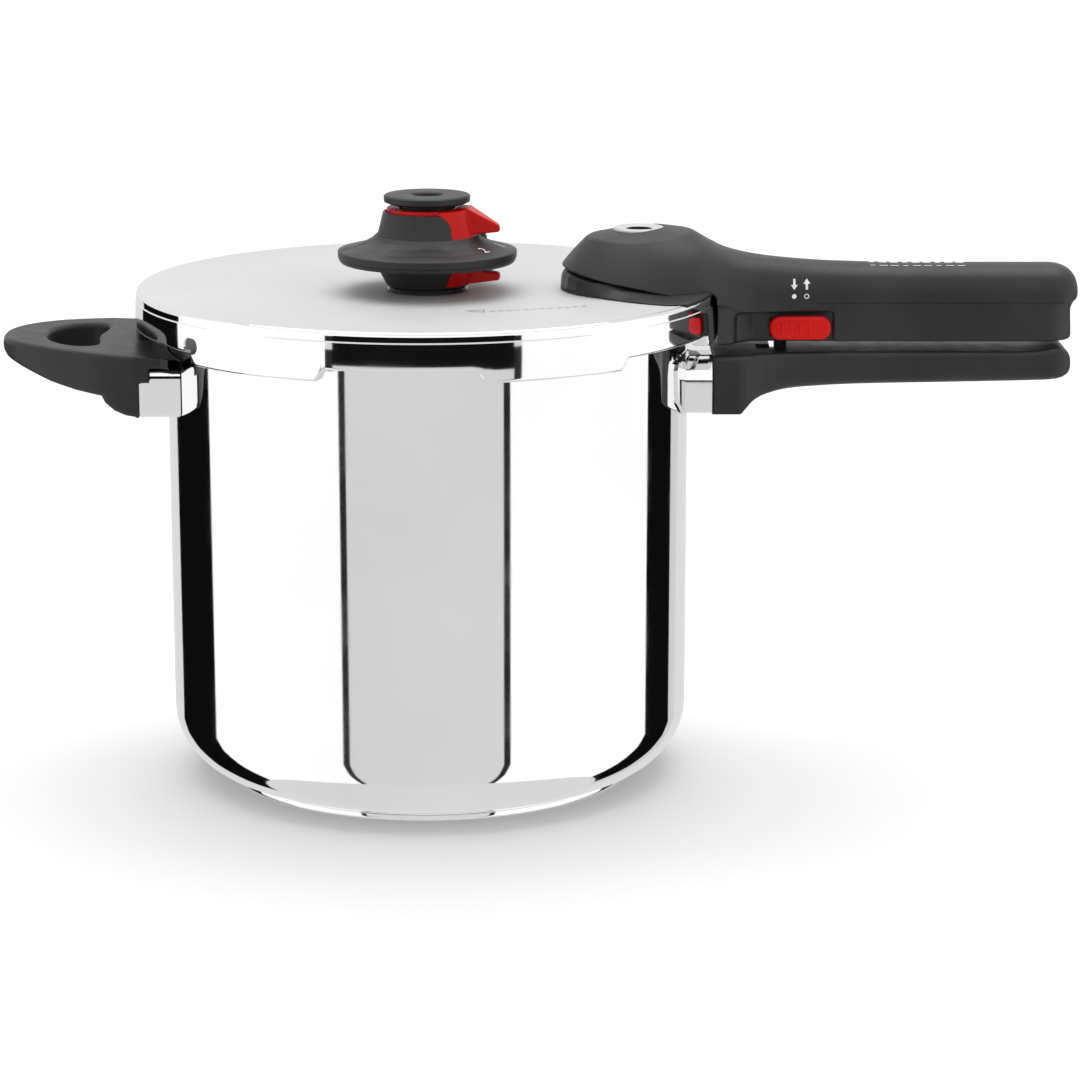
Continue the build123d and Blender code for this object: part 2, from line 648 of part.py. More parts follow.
def indicator_guide():
    """Bush through the lid that the pin slides in."""
    return at_nose(turned([
        (PIN_RADIUS + RUN_GAP, GUIDE_LOW_Z), (4.4, GUIDE_LOW_Z), (4.4, 211.4), (8.0, 211.4),
        (8.0, 213.4), (5.8, 214.0),
        (5.8, PIN_HEAD_LOW_Z - 0.3), (PIN_RADIUS + RUN_GAP, PIN_HEAD_LOW_Z - 0.3),
    ]))


def indicator_pin():
    flange = 198.0
    return at_nose(turned([
        (0, flange), (5.2, flange), (5.2, flange + 1.4), (PIN_RADIUS, flange + 1.4),
        (PIN_RADIUS, PIN_HEAD_LOW_Z),
        (PIN_HEAD_RADIUS, PIN_HEAD_LOW_Z), (PIN_HEAD_RADIUS, PIN_TOP_Z - 1.0),
        (PIN_HEAD_RADIUS - 1, PIN_TOP_Z),
        (0, PIN_TOP_Z),
    ]))


def indicator_seal():
    low = 199.45
    return at_nose(ring(PIN_RADIUS + 0.02, 5.0, low, low + 1.2))


def indicator_ring():
    """Steel ring let into the top of the nose."""
    return at_nose(turned([
        (5.5, 229.0), (8.4, 229.0), (8.4, 233.5), (10.5, 233.5), (10.5, RING_TOP_Z - 0.5),
        (9.8, RING_TOP_Z),
        (8.6, RING_TOP_Z), (7.4, RING_TOP_Z - 1.1), (5.5, RING_TOP_Z - 0.5),
    ]))


# ---------------------------------------------------------------- main bracket and lower handle
SADDLE_RADIUS = POT_RADIUS + 0.05
SADDLE_SHEET = 1.5
FERRULE_END_X = 120.5
FERRULE_SHEET = 1.0
TANG_HALF = 8.0
TANG = (112.0, 136.0)
TANG_Z = (166.0, 176.0)
LOWER_STATIONS = [
    # x, half width, bottom z, top z
    (120.8, 25.0, 158.7, 184.5), (131.5, 25.0, 158.7, 184.5), (134.0, 24.0, 160.2, 184.5),
    (138.0, 22.0, 163.0, 184.5),
    (144.0, 19.2, 165.6, 184.5), (152.0, 16.8, 167.4, 184.5), (163.0, 15.4, 168.6, 184.5),
    (184.0, GRIP_HALF_WIDTH, 169.6, 184.5), (226.0, GRIP_HALF_WIDTH, 170.4, 184.5),
    (256.0, GRIP_HALF_WIDTH, 171.4, 184.7), (264.0, 14.4, 173.2, 186.0), (269.5, 12.6, 176.4, 187.3),
    (272.6, 9.6, 180.2, 186.2), (273.8, 6.5, 182.4, 184.8),
]
LOWER_SECTION_POWER = 3.6
LOWER_ARCH = 8.0


def across_prism(points, low_x, high_x):
    """Outline in the YZ plane (y, z) spread from low_x to high_x."""
    face = Plane.YZ * make_face(Polyline(*points, close=True))
    return Pos(low_x, 0, 0) * extrude(face, amount=high_x - low_x)


def main_bracket():
    """Saddle welded to the pot, with a tang for the handle."""
    outline = [(-27, 160), (27, 160), (38, 168), (40, 184), (-40, 184), (-38, 168)]
    saddle = ring(SADDLE_RADIUS, SADDLE_RADIUS + SADDLE_SHEET, 150, 190) & across_prism(outline, 90, 125)
    tang = block((TANG[0], -TANG_HALF, TANG_Z[0]), (TANG[1], TANG_HALF, TANG_Z[1]))
    tang -= Pos(MAIN_SCREW_X, 0, 0) * rod(2.25, 150, 190)
    return saddle + tang


def main_ferrule():
    """Sleeve that keeps flame off the root of the handle."""
    outer = [(-27, 161.5), (-26, 160.5), (26, 160.5), (27, 161.5), (27, 178), (21, 184), (-21, 184),
             (-27, 178)]
    inner = [(-26, 161.5), (26, 161.5), (26, 177.6), (20.6, 183), (-20.6, 183), (-26, 177.6)]
    sleeve = across_prism(outer, 105, FERRULE_END_X) - across_prism(inner, 100, FERRULE_END_X + 5)
    return sleeve - rod(SADDLE_RADIUS + SADDLE_SHEET + 0.05, 150, 190)


MAIN_SCREW_X = 128.0
HANDLE_SCREW_HEAD = 3.8
HANDLE_SCREW_SHANK = 2.2


def screw_bore(x, y, head_z):
    """Counterbored hole for a handle screw that enters from below."""
    bore = rod(HANDLE_SCREW_HEAD + 0.2, 150, head_z + 2.6) + rod(HANDLE_SCREW_SHANK + 0.1, 150, 180)
    return Pos(x, y, 0) * bore


def lower_handle():
    sections = [
        arch_section(x, half_width, bottom + min(LOWER_ARCH, (top - bottom) * 0.6),
                     bottom, top, LOWER_SECTION_POWER)
        for x, half_width, bottom, top in LOWER_STATIONS
    ]
    body = loft(sections, ruled=True)
    pocket_low = TONGUE_LOW_Z - 1.0
    body -= block((TONGUE[0] - LOCK_TRAVEL - 0.7, -TONGUE_HALF - 0.6, pocket_low),
                  (TONGUE[1] + 0.8, TONGUE_HALF + 0.6, 200))
    body -= block((TONGUE[0] - 1.7, 0, pocket_low), (TONGUE[1] + 0.8, 40, 200))
    body -= block((TANG[0], -TANG_HALF - 0.1, TANG_Z[0] - 0.1),
                  (TANG[1] + 0.5, TANG_HALF + 0.1, TANG_Z[1] + 0.1))
    body -= screw_bore(MAIN_SCREW_X, 0, 159.5)
    return body


def lower_handle_screw():
    return Pos(MAIN_SCREW_X, 0, 0) * screw(HANDLE_SCREW_HEAD, HANDLE_SCREW_SHANK, 159.4, 2.6, 177.5)


# ---------------------------------------------------------------- helper bracket and handle
HELPER_FERRULE_X = (-119.0, -105.5)
HELPER_Z = (162.0, 182.4)
HELPER_STEP = (-114.5, 176.8)
HELPER_HALF = 45.0
HELPER_PLATE = (-134.0, -104.0)
HELPER_PLATE_HALF = 38.0
HELPER_PLATE_Z = (170.0, 173.0)
HELPER_SCREWS = [(-128.0, -24.0), (-128.0, 24.0)]
HELPER_EDGE = [
    (-181.5, 5.0), (-180.0, 12.0), (-176.0, 20.0), (-169.5, 27.5), (-160.0, 34.5), (-148.0, 40.5),
    (-135.0, 44.5),
    (-122.0, 46.0), (-107.0, 45.0),
]
HELPER_SIDE = [
    (-107.0, 182.6), (-107.0, 187.4), (-122.0, 188.6), (-150.0, 190.2), (-168.0, 190.6), (-176.0, 190.4),
    (-180.0, 189.2), (-181.6, 187.2), (-181.0, 185.0), (-178.0, 182.8), (-166.0, 178.8), (-157.0, 175.4),
    (-146.0, 172.4), (-137.0, 170.6), (-135.5, 168.0), (-132.5, 164.6), (-126.0, 162.0), (-119.2, 162.0),
    (-119.2, 176.9), (-114.7, 176.9), (-114.7, 182.6),
]
FINGER_HOLE = [
    (-162.0, 5.0), (-160.8, 11.0), (-157.0, 19.0), (-151.5, 25.5), (-145.0, 28.6), (-140.0, 27.5),
    (-138.0, 21.0),
    (-139.2, 11.0), (-140.4, 5.0),
]


def sleeve_outline(half_width, low, high, corner):
    return [
        (-half_width, low + corner), (-half_width + corner, low), (half_width - corner, low),
        (half_width, low + corner), (half_width, high - corner), (half_width - corner, high),
        (-half_width + corner, high), (-half_width, high - corner),
    ]


def helper_sleeve(outer_gap, sheet, low_x, high_x):
    """Hollow sleeve along X, outer_gap inside the ferrule's outline."""
    low, high = HELPER_Z[0] + outer_gap, HELPER_Z[1] - outer_gap
    outer = sleeve_outline(HELPER_HALF - outer_gap, low, high, 2.0)
    inner = sleeve_outline(HELPER_HALF - outer_gap - sheet, low + sheet, high - sheet, 1.4)
    sleeve = across_prism(outer, low_x, high_x) - across_prism(inner, low_x - 5, high_x + 5)
    return sleeve - rod(SADDLE_RADIUS, 150, 190)


def helper_bracket():
    """Sleeve welded to the pot, with a plate for the handle's screws."""
    sleeve = helper_sleeve(FERRULE_SHEET + FIT_GAP, SADDLE_SHEET, -113.5, -80)
    sleeve -= block((-116, -60, HELPER_STEP[1] - 1.5), (HELPER_STEP[0] + 0.7, 60, 190))
    plate = block((HELPER_PLATE[0], -HELPER_PLATE_HALF, HELPER_PLATE_Z[0]),
                  (HELPER_PLATE[1], HELPER_PLATE_HALF, HELPER_PLATE_Z[1]))
    plate += block((-113, -HELPER_HALF + 2, HELPER_PLATE_Z[0]), (-108, HELPER_HALF - 2, HELPER_PLATE_Z[1]))
    plate -= rod(SADDLE_RADIUS, 150, 190)
    for x, y in HELPER_SCREWS:
        plate -= Pos(x, y, 0) * rod(HANDLE_SCREW_SHANK + 0.05, 150, 190)
    return sleeve + plate


def helper_ferrule():
    sleeve = helper_sleeve(0, FERRULE_SHEET, *HELPER_FERRULE_X)
    return sleeve - block((-130, -60, HELPER_STEP[1]), (HELPER_STEP[0], 60, 190))


def helper_handle():
    """Loop with a finger hole, its root standing on the ferrule."""
    body = side_prism(HELPER_SIDE, 60) & plan_prism(mirrored(HELPER_EDGE), 150, 200)
    body -= plan_prism(mirrored(FINGER_HOLE), 150, 200)
    body -= rod(SADDLE_RADIUS + 0.2, 150, 200)
    body -= block((HELPER_PLATE[0] - 0.3, -HELPER_PLATE_HALF - 0.1, HELPER_PLATE_Z[0] - 0.1),
                  (HELPER_PLATE[1], HELPER_PLATE_HALF + 0.1, HELPER_PLATE_Z[1] + 0.1))
    for x, y in HELPER_SCREWS:
        body -= screw_bore(x, y, 163.0)
    return body


def helper_handle_screws():
    fastener = screw(HANDLE_SCREW_HEAD, HANDLE_SCREW_SHANK, 162.9, 2.6, 175.0)
    return [Pos(x, y, 0) * fastener for x, y in HELPER_SCREWS]


# ---------------------------------------------------------------- nodes
NODES = {
    "pot_body": pot_body,
    "base_core": base_core,
    "base_cap": base_cap,
    "main_bracket": main_bracket,
    "main_ferrule": main_ferrule,
    "lower_handle": lower_handle,
    "lower_handle_screw": lower_handle_screw,
    "helper_bracket": helper_bracket,
    "helper_ferrule": helper_ferrule,
    "helper_handle": helper_handle,
    "helper_handle_screws": helper_handle_screws,
    "lid_shell": lid_shell,
    "lid_gasket": lid_gasket,
    "nose_base": nose_base,
    "upper_handle": upper_handle,
    "bottom_cover": bottom_cover,
    "bottom_cover_screws": bottom_cover_screws,
    "lid_handle_screws": lid_handle_screws,
    "lock_button": lock_button,
    "lock_bolt": lock_bolt,
    "detent_spring": detent_spring,
    "indicator_guide": indicator_guide,
    "indicator_pin": indicator_pin,
    "indicator_seal": indicator_seal,
    "indicator_ring": indicator_ring,
    "valve_base_ring": valve_base_ring,
    "valve_pipe": valve_pipe,
    "valve_washer": valve_washer,
    "valve_nut": valve_nut,
    "valve_lower_body": lower_body,
    "valve_upper_body": upper_cone,
    "valve_pointer": pointer,
    "valve_lower_pointer": lower_pointer,
    "valve_dial": dial,
    "valve_cap": valve_cap,
    "valve_poppet": poppet,
    "valve_spring": valve_spring,
}

os.makedirs("parts", exist_ok=True)
for node, make in NODES.items():
    shape = make()
    if isinstance(shape, list):
        shape = Compound(children=shape)
    export_step(shape, f"parts/{node}.step")
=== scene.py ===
import json
from math import acos, atan2, ceil, cos, degrees, hypot, pi, radians, sin, sqrt, tan

import bpy
import numpy as np
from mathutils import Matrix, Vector


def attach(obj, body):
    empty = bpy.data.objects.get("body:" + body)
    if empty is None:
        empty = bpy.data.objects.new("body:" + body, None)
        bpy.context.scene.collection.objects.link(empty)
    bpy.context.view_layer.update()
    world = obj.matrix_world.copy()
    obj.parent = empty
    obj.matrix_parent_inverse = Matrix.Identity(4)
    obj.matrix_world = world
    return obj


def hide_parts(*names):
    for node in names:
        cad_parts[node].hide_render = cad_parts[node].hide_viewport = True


# Stovetop pressure cooker. The shapes are made in millimetres, in the CAD's frame, and scaled to metres.
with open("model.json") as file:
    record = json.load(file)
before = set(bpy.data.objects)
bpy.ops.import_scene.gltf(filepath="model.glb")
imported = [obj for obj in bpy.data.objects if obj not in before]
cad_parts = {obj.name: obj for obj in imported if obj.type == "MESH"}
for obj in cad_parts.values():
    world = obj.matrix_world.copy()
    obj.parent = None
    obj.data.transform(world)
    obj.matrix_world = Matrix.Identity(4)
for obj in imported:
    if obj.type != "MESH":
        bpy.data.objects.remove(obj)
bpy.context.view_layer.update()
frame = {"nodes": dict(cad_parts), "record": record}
MM = 0.001
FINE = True
ROUND_SEGMENTS = 256 if FINE else 96

# ---------------------------------------------------------------- dimensions, millimetres
POT_RADIUS = 111.0
POT_WALL = 1.0
RIM_Z = 203.0
CORNER_RADIUS = 27.0
BASE_RADIUS = 88.5
BASE_THICKNESS = 3.0
FLANGE_RADIUS = 116.0
POT_LUG_RADIUS = 120.8
POT_LUG_HALF_ANGLE = 13.5
LID_RADIUS = 124.5
LID_SHEET = 1.2
LID_EDGE_Z = 211.7
LID_CENTRE_Z = 209.0
LID_FLAT_RADIUS = 40.0
LID_EDGE_ROUND = 3.5
LID_SLOPE = (LID_EDGE_Z - LID_CENTRE_Z) / (LID_RADIUS - LID_EDGE_ROUND - LID_FLAT_RADIUS)
SKIRT_DRAFT = 0.6
LEDGE_Z = 207.2
LUG_COUNT = 6
FIRST_LUG_ANGLE = -3.4
LID_LUG_HALF_ANGLE = 15.0
LID_LUG_BOTTOM_Z = 191.0
LID_LUG_INNER_RADIUS = 116.9
NOTCH_Z = 195.9
NOTCH_LIP_RADIUS = 121.6
NOSE_X = 90.0
GRIP_STEP_Z = 205.5
UPPER_BOTTOM_Z = 188.8
WINDOW_ANGLE = -139.0
WINDOW_Z = 199.0
WINDOW_HALF_WIDTH = 4.6
WINDOW_HALF_HEIGHT = 3.3
INDICATOR_HOLE_RADIUS = 4.6
SATIN_RADIUS = 120.0
POINTER_ANGLE = -7.0


# ---------------------------------------------------------------- node materials
def new_material(name, **inputs):
    """A Principled material; inputs are socket names with spaces written as underscores."""
    material = bpy.data.materials.new(name)
    material.use_nodes = True
    shader = material.node_tree.nodes["Principled BSDF"]
    for socket, value in inputs.items():
        shader.inputs[socket.replace("_", " ")].default_value = value
    return material


def noise(material, scale, detail=3.0, stretch=(1, 1, 1)):
    """Noise on the piece's own coordinates; returns its factor socket."""
    tree = material.node_tree
    place = tree.nodes.new("ShaderNodeTexCoord")
    mapping = tree.nodes.new("ShaderNodeMapping")
    mapping.inputs["Scale"].default_value = stretch
    texture = tree.nodes.new("ShaderNodeTexNoise")
    texture.inputs["Scale"].default_value = scale
    texture.inputs["Detail"].default_value = detail
    tree.links.new(place.outputs["Object"], mapping.inputs["Vector"])
    tree.links.new(mapping.outputs["Vector"], texture.inputs["Vector"])
    return texture.outputs["Fac"]


def vary(material, socket, factor, low, high):
    """Drives a number socket of the shader between low and high with a texture factor."""
    tree = material.node_tree
    spread = tree.nodes.new("ShaderNodeMapRange")
    spread.inputs["From Min"].default_value = 0.3
    spread.inputs["From Max"].default_value = 0.7
    spread.inputs["To Min"].default_value = low
    spread.inputs["To Max"].default_value = high
    tree.links.new(factor, spread.inputs["Value"])
    tree.links.new(spread.outputs["Result"], tree.nodes["Principled BSDF"].inputs[socket])


def tint(material, factor, low, high):
    """Drives the base colour between two colours with a texture factor."""
    tree = material.node_tree
    ramp = tree.nodes.new("ShaderNodeValToRGB")
    ramp.color_ramp.elements[0].position = 0.35
    ramp.color_ramp.elements[1].position = 0.65
    ramp.color_ramp.elements[0].color = (*low, 1)
    ramp.color_ramp.elements[1].color = (*high, 1)
    tree.links.new(factor, ramp.inputs["Fac"])
    tree.links.new(ramp.outputs["Color"], tree.nodes["Principled BSDF"].inputs["Base Color"])


def bump(material, factor, strength, depth):
    """Small relief from a texture factor; depth in metres."""
    tree = material.node_tree
    relief = tree.nodes.new("ShaderNodeBump")
    relief.inputs["Strength"].default_value = strength
    relief.inputs["Distance"].default_value = depth
    tree.links.new(factor, relief.inputs["Height"])
    tree.links.new(relief.outputs["Normal"], tree.nodes["Principled BSDF"].inputs["Normal"])


def polished_steel():
    """Mirror-polished sheet with slight waves and uneven polish."""
    steel = new_material("polished_steel", Metallic=1.0, Roughness=0.04)
    tint(steel, noise(steel, 9.0), (0.88, 0.88, 0.885), (0.93, 0.93, 0.935))
    vary(steel, "Roughness", noise(steel, 40.0, 4.0), 0.03, 0.07)
    bump(steel, noise(steel, 14.0, 1.0, (1, 1, 0.4)), 0.12, 0.0005)
    return steel


def satin_steel():
    """Finely ground sheet of the lid's top."""
    steel = new_material("satin_steel", Metallic=0.4, Roughness=0.6)
    tint(steel, noise(steel, 6.0), (0.56, 0.56, 0.57), (0.61, 0.61, 0.62))
    vary(steel, "Roughness", noise(steel, 60.0, 4.0), 0.56, 0.64)
    bump(steel, noise(steel, 1500.0, 2.0), 0.06, 0.00005)
    return steel


def plain_steel():
    """Machined or stamped steel of the small hidden parts."""
    steel = new_material("plain_steel", Metallic=1.0, Roughness=0.3)
    tint(steel, noise(steel, 60.0), (0.55, 0.55, 0.56), (0.68, 0.68, 0.69))
    vary(steel, "Roughness", noise(steel, 300.0, 2.0, (1, 1, 8)), 0.22, 0.4)
    bump(steel, noise(steel, 900.0, 2.0, (1, 1, 6)), 0.2, 0.0001)
    return steel


def black_plastic(name="black_plastic", roughness=(0.42, 0.52), grain=0.25):
    """Phenolic plastic with the fine grain of its mould."""
    plastic = new_material(name, Specular_IOR_Level=0.42)
    tint(plastic, noise(plastic, 30.0, 4.0), (0.013, 0.013, 0.014), (0.02, 0.02, 0.021))
    vary(plastic, "Roughness", noise(plastic, 120.0, 4.0), *roughness)
    bump(plastic, noise(plastic, 2600.0, 2.0), grain, 0.00008)
    return plastic


def red_plastic():
    plastic = new_material("red_plastic", Specular_IOR_Level=0.16)
    tint(plastic, noise(plastic, 50.0), (0.54, 0.003, 0.002), (0.62, 0.005, 0.003))
    vary(plastic, "Roughness", noise(plastic, 200.0, 3.0), 0.25, 0.36)
    bump(plastic, noise(plastic, 1800.0, 2.0), 0.12, 0.00006)
    return plastic


def grey_silicone():
    rubber = new_material("grey_silicone", Specular_IOR_Level=0.4)
    tint(rubber, noise(rubber, 45.0), (0.5, 0.51, 0.52), (0.58, 0.59, 0.6))
    vary(rubber, "Roughness", noise(rubber, 150.0), 0.45, 0.65)
    bump(rubber, noise(rubber, 1200.0), 0.2, 0.00008)
    return rubber


def print_ink(name, low, high):
    """Pad-printed ink, a little uneven."""
    ink = new_material(name, Specular_IOR_Level=0.3)
    tint(ink, noise(ink, 700.0, 3.0), low, high)
    vary(ink, "Roughness", noise(ink, 500.0), 0.45, 0.6)
    return ink


def painted_shade_steel():
    """Near-black steel of the lock's bolt: painted shade, so the bolt reads as the shaded recess it is seen
    through.
    """
    steel = new_material("painted_shade_steel", Metallic=1.0, Roughness=0.5)
    tint(steel, noise(steel, 80.0), (0.02, 0.02, 0.022), (0.045, 0.045, 0.048))
    vary(steel, "Roughness", noise(steel, 300.0), 0.42, 0.6)
    bump(steel, noise(steel, 1100.0), 0.2, 0.00008)
    return steel


STEEL = polished_steel()
SATIN_STEEL = satin_steel()
PLAIN_STEEL = plain_steel()
# Painted shade: the lock's bolt is made near black so the recess round it reads as shaded.
PAINTED_SHADE_STEEL = painted_shade_steel()
BLACK = black_plastic()
GLOSS_BLACK = black_plastic("gloss_black_plastic", (0.12, 0.2), 0.05)
RED = red_plastic()
SILICONE = grey_silicone()
WHITE_INK = print_ink("white_ink", (0.75, 0.75, 0.74), (0.9, 0.9, 0.9))
GREY_INK = print_ink("grey_ink", (0.25, 0.25, 0.26), (0.34, 0.34, 0.35))

SLOT_MATERIALS = {
    "polished_steel": STEEL,
    "plain_steel": PLAIN_STEEL,
    "aluminium_core": PLAIN_STEEL,
    "black_plastic": BLACK,
    "red_plastic": RED,
    "grey_silicone": SILICONE,
}


# ---------------------------------------------------------------- meshes
def add_piece(name, vertices, faces, material, body, node=None, sharp=35.0, normals=None):
    """Mesh in millimetres that rides on a body and may stand for CAD nodes."""
    mesh = bpy.data.meshes.new(name)
    mesh.from_pydata((np.asarray(vertices, float) * MM).tolist(), [], faces)
    mesh.materials.append(material)
    mesh.shade_smooth()
    if normals is None:
        mesh.set_sharp_from_angle(angle=radians(sharp))
    else:
        mesh.normals_split_custom_set_from_vertices(normals)
    piece = bpy.data.objects.new(name, mesh)
    bpy.context.scene.collection.objects.link(piece)
    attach(piece, body)
    if node:
        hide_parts(*([node] if isinstance(node, str) else node))
    return piece


def rounded(corners, arc_step=10.0, arc_steps=None):
    """Closed outline from corners (x, y) or (x, y, radius), with an arc at each corner that has a radius."""
    places = [complex(corner[0], corner[1]) for corner in corners]
    outline = []
    for number, corner in enumerate(corners):
        here = places[number]
        radius = corner[2] if len(corner) > 2 else 0.0
        back = places[number - 1] - here
        ahead = places[(number + 1) % len(places)] - here
        turn = acos(max(-1.0, min(1.0, (back * ahead.conjugate()).real / abs(back) / abs(ahead))))
        if radius == 0.0 or turn > pi - 0.01:
            outline.append((here.real, here.imag))
            continue
        reach = min(radius / tan(turn / 2), 0.49 * abs(back), 0.49 * abs(ahead))
        radius = reach * tan(turn / 2)
        middle = back / abs(back) + ahead / abs(ahead)
        centre = here + middle / abs(middle) * radius / sin(turn / 2)
        start = here + back / abs(back) * reach - centre
        end = here + ahead / abs(ahead) * reach - centre
        sweep = atan2((end * start.conjugate()).imag, (end * start.conjugate()).real)
        steps = arc_steps or max(2, round(abs(degrees(sweep)) / arc_step))
        for step in range(steps + 1):
            angle = sweep * step / steps
            point = centre + start * complex(cos(angle), sin(angle))
            outline.append((point.real, point.imag))
    return outline


def grid_faces(rows, columns, wrap_rows, wrap_columns):
    """Quads of a grid of vertices, numbered row by row."""
    faces = []
    for row in range(rows if wrap_rows else rows - 1):
        below = row * columns
        above = (row + 1) % rows * columns
        for column in range(columns if wrap_columns else columns - 1):
            beside = (column + 1) % columns
            faces.append((below + column, below + beside, above + beside, above + column))
    return faces


def turned(name, corners, material, body, node=None, angles=None, arc_steps=None, **options):
    """Closed outline (radius, z) turned about Z. corners may be a function of the angle in degrees."""
    if angles is None:
        angles = [360.0 * step / ROUND_SEGMENTS for step in range(ROUND_SEGMENTS)]
    vertices = []
    count = 0
    for angle in angles:
        outline = rounded(corners(angle) if callable(corners) else corners, arc_steps=arc_steps)
        if vertices and len(outline) != count:
            raise ValueError(f"{name}: its outlines differ in length")
        count = len(outline)
        across, up = cos(radians(angle)), sin(radians(angle))
        vertices += [(radius * across, radius * up, z) for radius, z in outline]
    faces = grid_faces(len(angles), count, True, True)
    return add_piece(name, vertices, faces, material, body, node, **options)


def cut(piece, *cutters):
    """Takes the cutters' shapes out of a piece."""
    for cutter in cutters:
        modifier = piece.modifiers.new("cut", "BOOLEAN")
        modifier.object = cutter
        modifier.operation = "DIFFERENCE"
        modifier.solver = "EXACT"
    evaluated = piece.evaluated_get(bpy.context.evaluated_depsgraph_get())
    mesh = bpy.data.meshes.new_from_object(evaluated)
    piece.modifiers.clear()
    piece.data = mesh
    mesh.set_sharp_from_angle(angle=radians(35))
    for cutter in cutters:
        bpy.data.objects.remove(cutter)


def cutter_rod(radius, low, high, x=0.0, y=0.0):
    """Upright cylinder for cutting a hole."""
    bpy.ops.mesh.primitive_cylinder_add(
        vertices=64, radius=radius * MM, depth=(high - low) * MM, location=(x * MM, y * MM,
                                                                            (low + high) / 2 * MM))
    return bpy.context.object


def prism(name, outline, low, high, material, body, node=None, plane="xy", **options):
    """Outline raised between two levels. low and high may be functions of the outline's point."""
    def level(value, point):
        return value(*point) if callable(value) else value

    vertices = []
    for value in (low, high):
        for point in outline:
            a, b = point
            c = level(value, point)
            vertices.append({"xy": (a, b, c), "yz": (c, a, b), "xz": (a, c, b)}[plane])
    count = len(outline)
    faces = grid_faces(2, count, False, True)
    faces += [tuple(range(count))[::-1], tuple(range(count, 2 * count))]
    return add_piece(name, vertices, faces, material, body, node, **options)


# ---------------------------------------------------------------- solids from a distance field
def smooth_max(a, b, width):
    """The larger of two fields, blended where they are closer than width."""
    return np.maximum(a, b) + np.maximum(width - np.abs(a - b), 0.0) ** 2 / (4.0 * width)


def smooth_min(a, b, width):
    return -smooth_max(-a, -b, width)


def box_field(x, y, z, low, high):
    """Negative inside the box between two corners."""
    return np.maximum(
        np.maximum(np.maximum(low[0] - x, x - high[0]), np.maximum(low[1] - y, y - high[1])),
        np.maximum(low[2] - z, z - high[2]))


def rod_field(x, y, z, centre, radius, low, high):
    """Negative inside an upright cylinder."""
    across = np.sqrt((x - centre[0]) ** 2 + (y - centre[1]) ** 2) - radius
    return np.maximum(across, np.maximum(low - z, z - high))


def flow(x, stations):
    """Smooth curve through stations (x, value), without overshoot."""
    places, values = np.array(stations, float).T
    steps = np.diff(places)
    slopes = np.diff(values) / steps
    bends = np.zeros_like(values)
    rising = slopes[:-1] * slopes[1:] > 0
    bends[1:-1][rising] = (2.0 * slopes[:-1] * slopes[1:] / (slopes[:-1] + slopes[1:] + 1e-12))[rising]
    bends[0], bends[-1] = slopes[0], slopes[-1]
    x = np.clip(x, places[0], places[-1])
    part = np.clip(np.searchsorted(places, x, side="right") - 1, 0, len(steps) - 1)
    t = (x - places[part]) / steps[part]
    low, high = values[part], values[part + 1]
    start, end = bends[part] * steps[part], bends[part + 1] * steps[part]
    return (low * (1 + 2 * t) * (1 - t) ** 2 + start * t * (1 - t) ** 2
            + high * t * t * (3 - 2 * t) + end * t * t * (t - 1))


def outline_field(a, b, corners):
    """Signed distance from a closed outline in the plane of a and b."""
    a, b = np.broadcast_arrays(a, b)
    nearest = np.full(a.shape, 1e9)
    inside = np.zeros(a.shape, bool)
    for number, (x1, y1) in enumerate(corners):
        x2, y2 = corners[(number + 1) % len(corners)]
        along_x, along_y = x2 - x1, y2 - y1
        length = along_x * along_x + along_y * along_y
        t = np.clip(((a - x1) * along_x + (b - y1) * along_y) / length, 0.0, 1.0)
        nearest = np.minimum(nearest, (a - x1 - t * along_x) ** 2 + (b - y1 - t * along_y) ** 2)
        if y1 != y2:
            crossing = ((b >= y1) != (b >= y2)) & (a < x1 + (b - y1) / along_y * along_x)
            inside ^= crossing
    return np.where(inside, -1.0, 1.0) * np.sqrt(nearest)


def field_slope(field, points, reach=0.15):
    """Gradient of a field at scattered points."""
    slope = np.empty_like(points)
    for axis in range(3):
        shift = np.zeros(3)
        shift[axis] = reach
        slope[:, axis] = field(*(points + shift).T) - field(*(points - shift).T)
    return slope / (2.0 * reach)


FLAT_SLOPE = 1e-3
SNAP_ROUNDS = 3


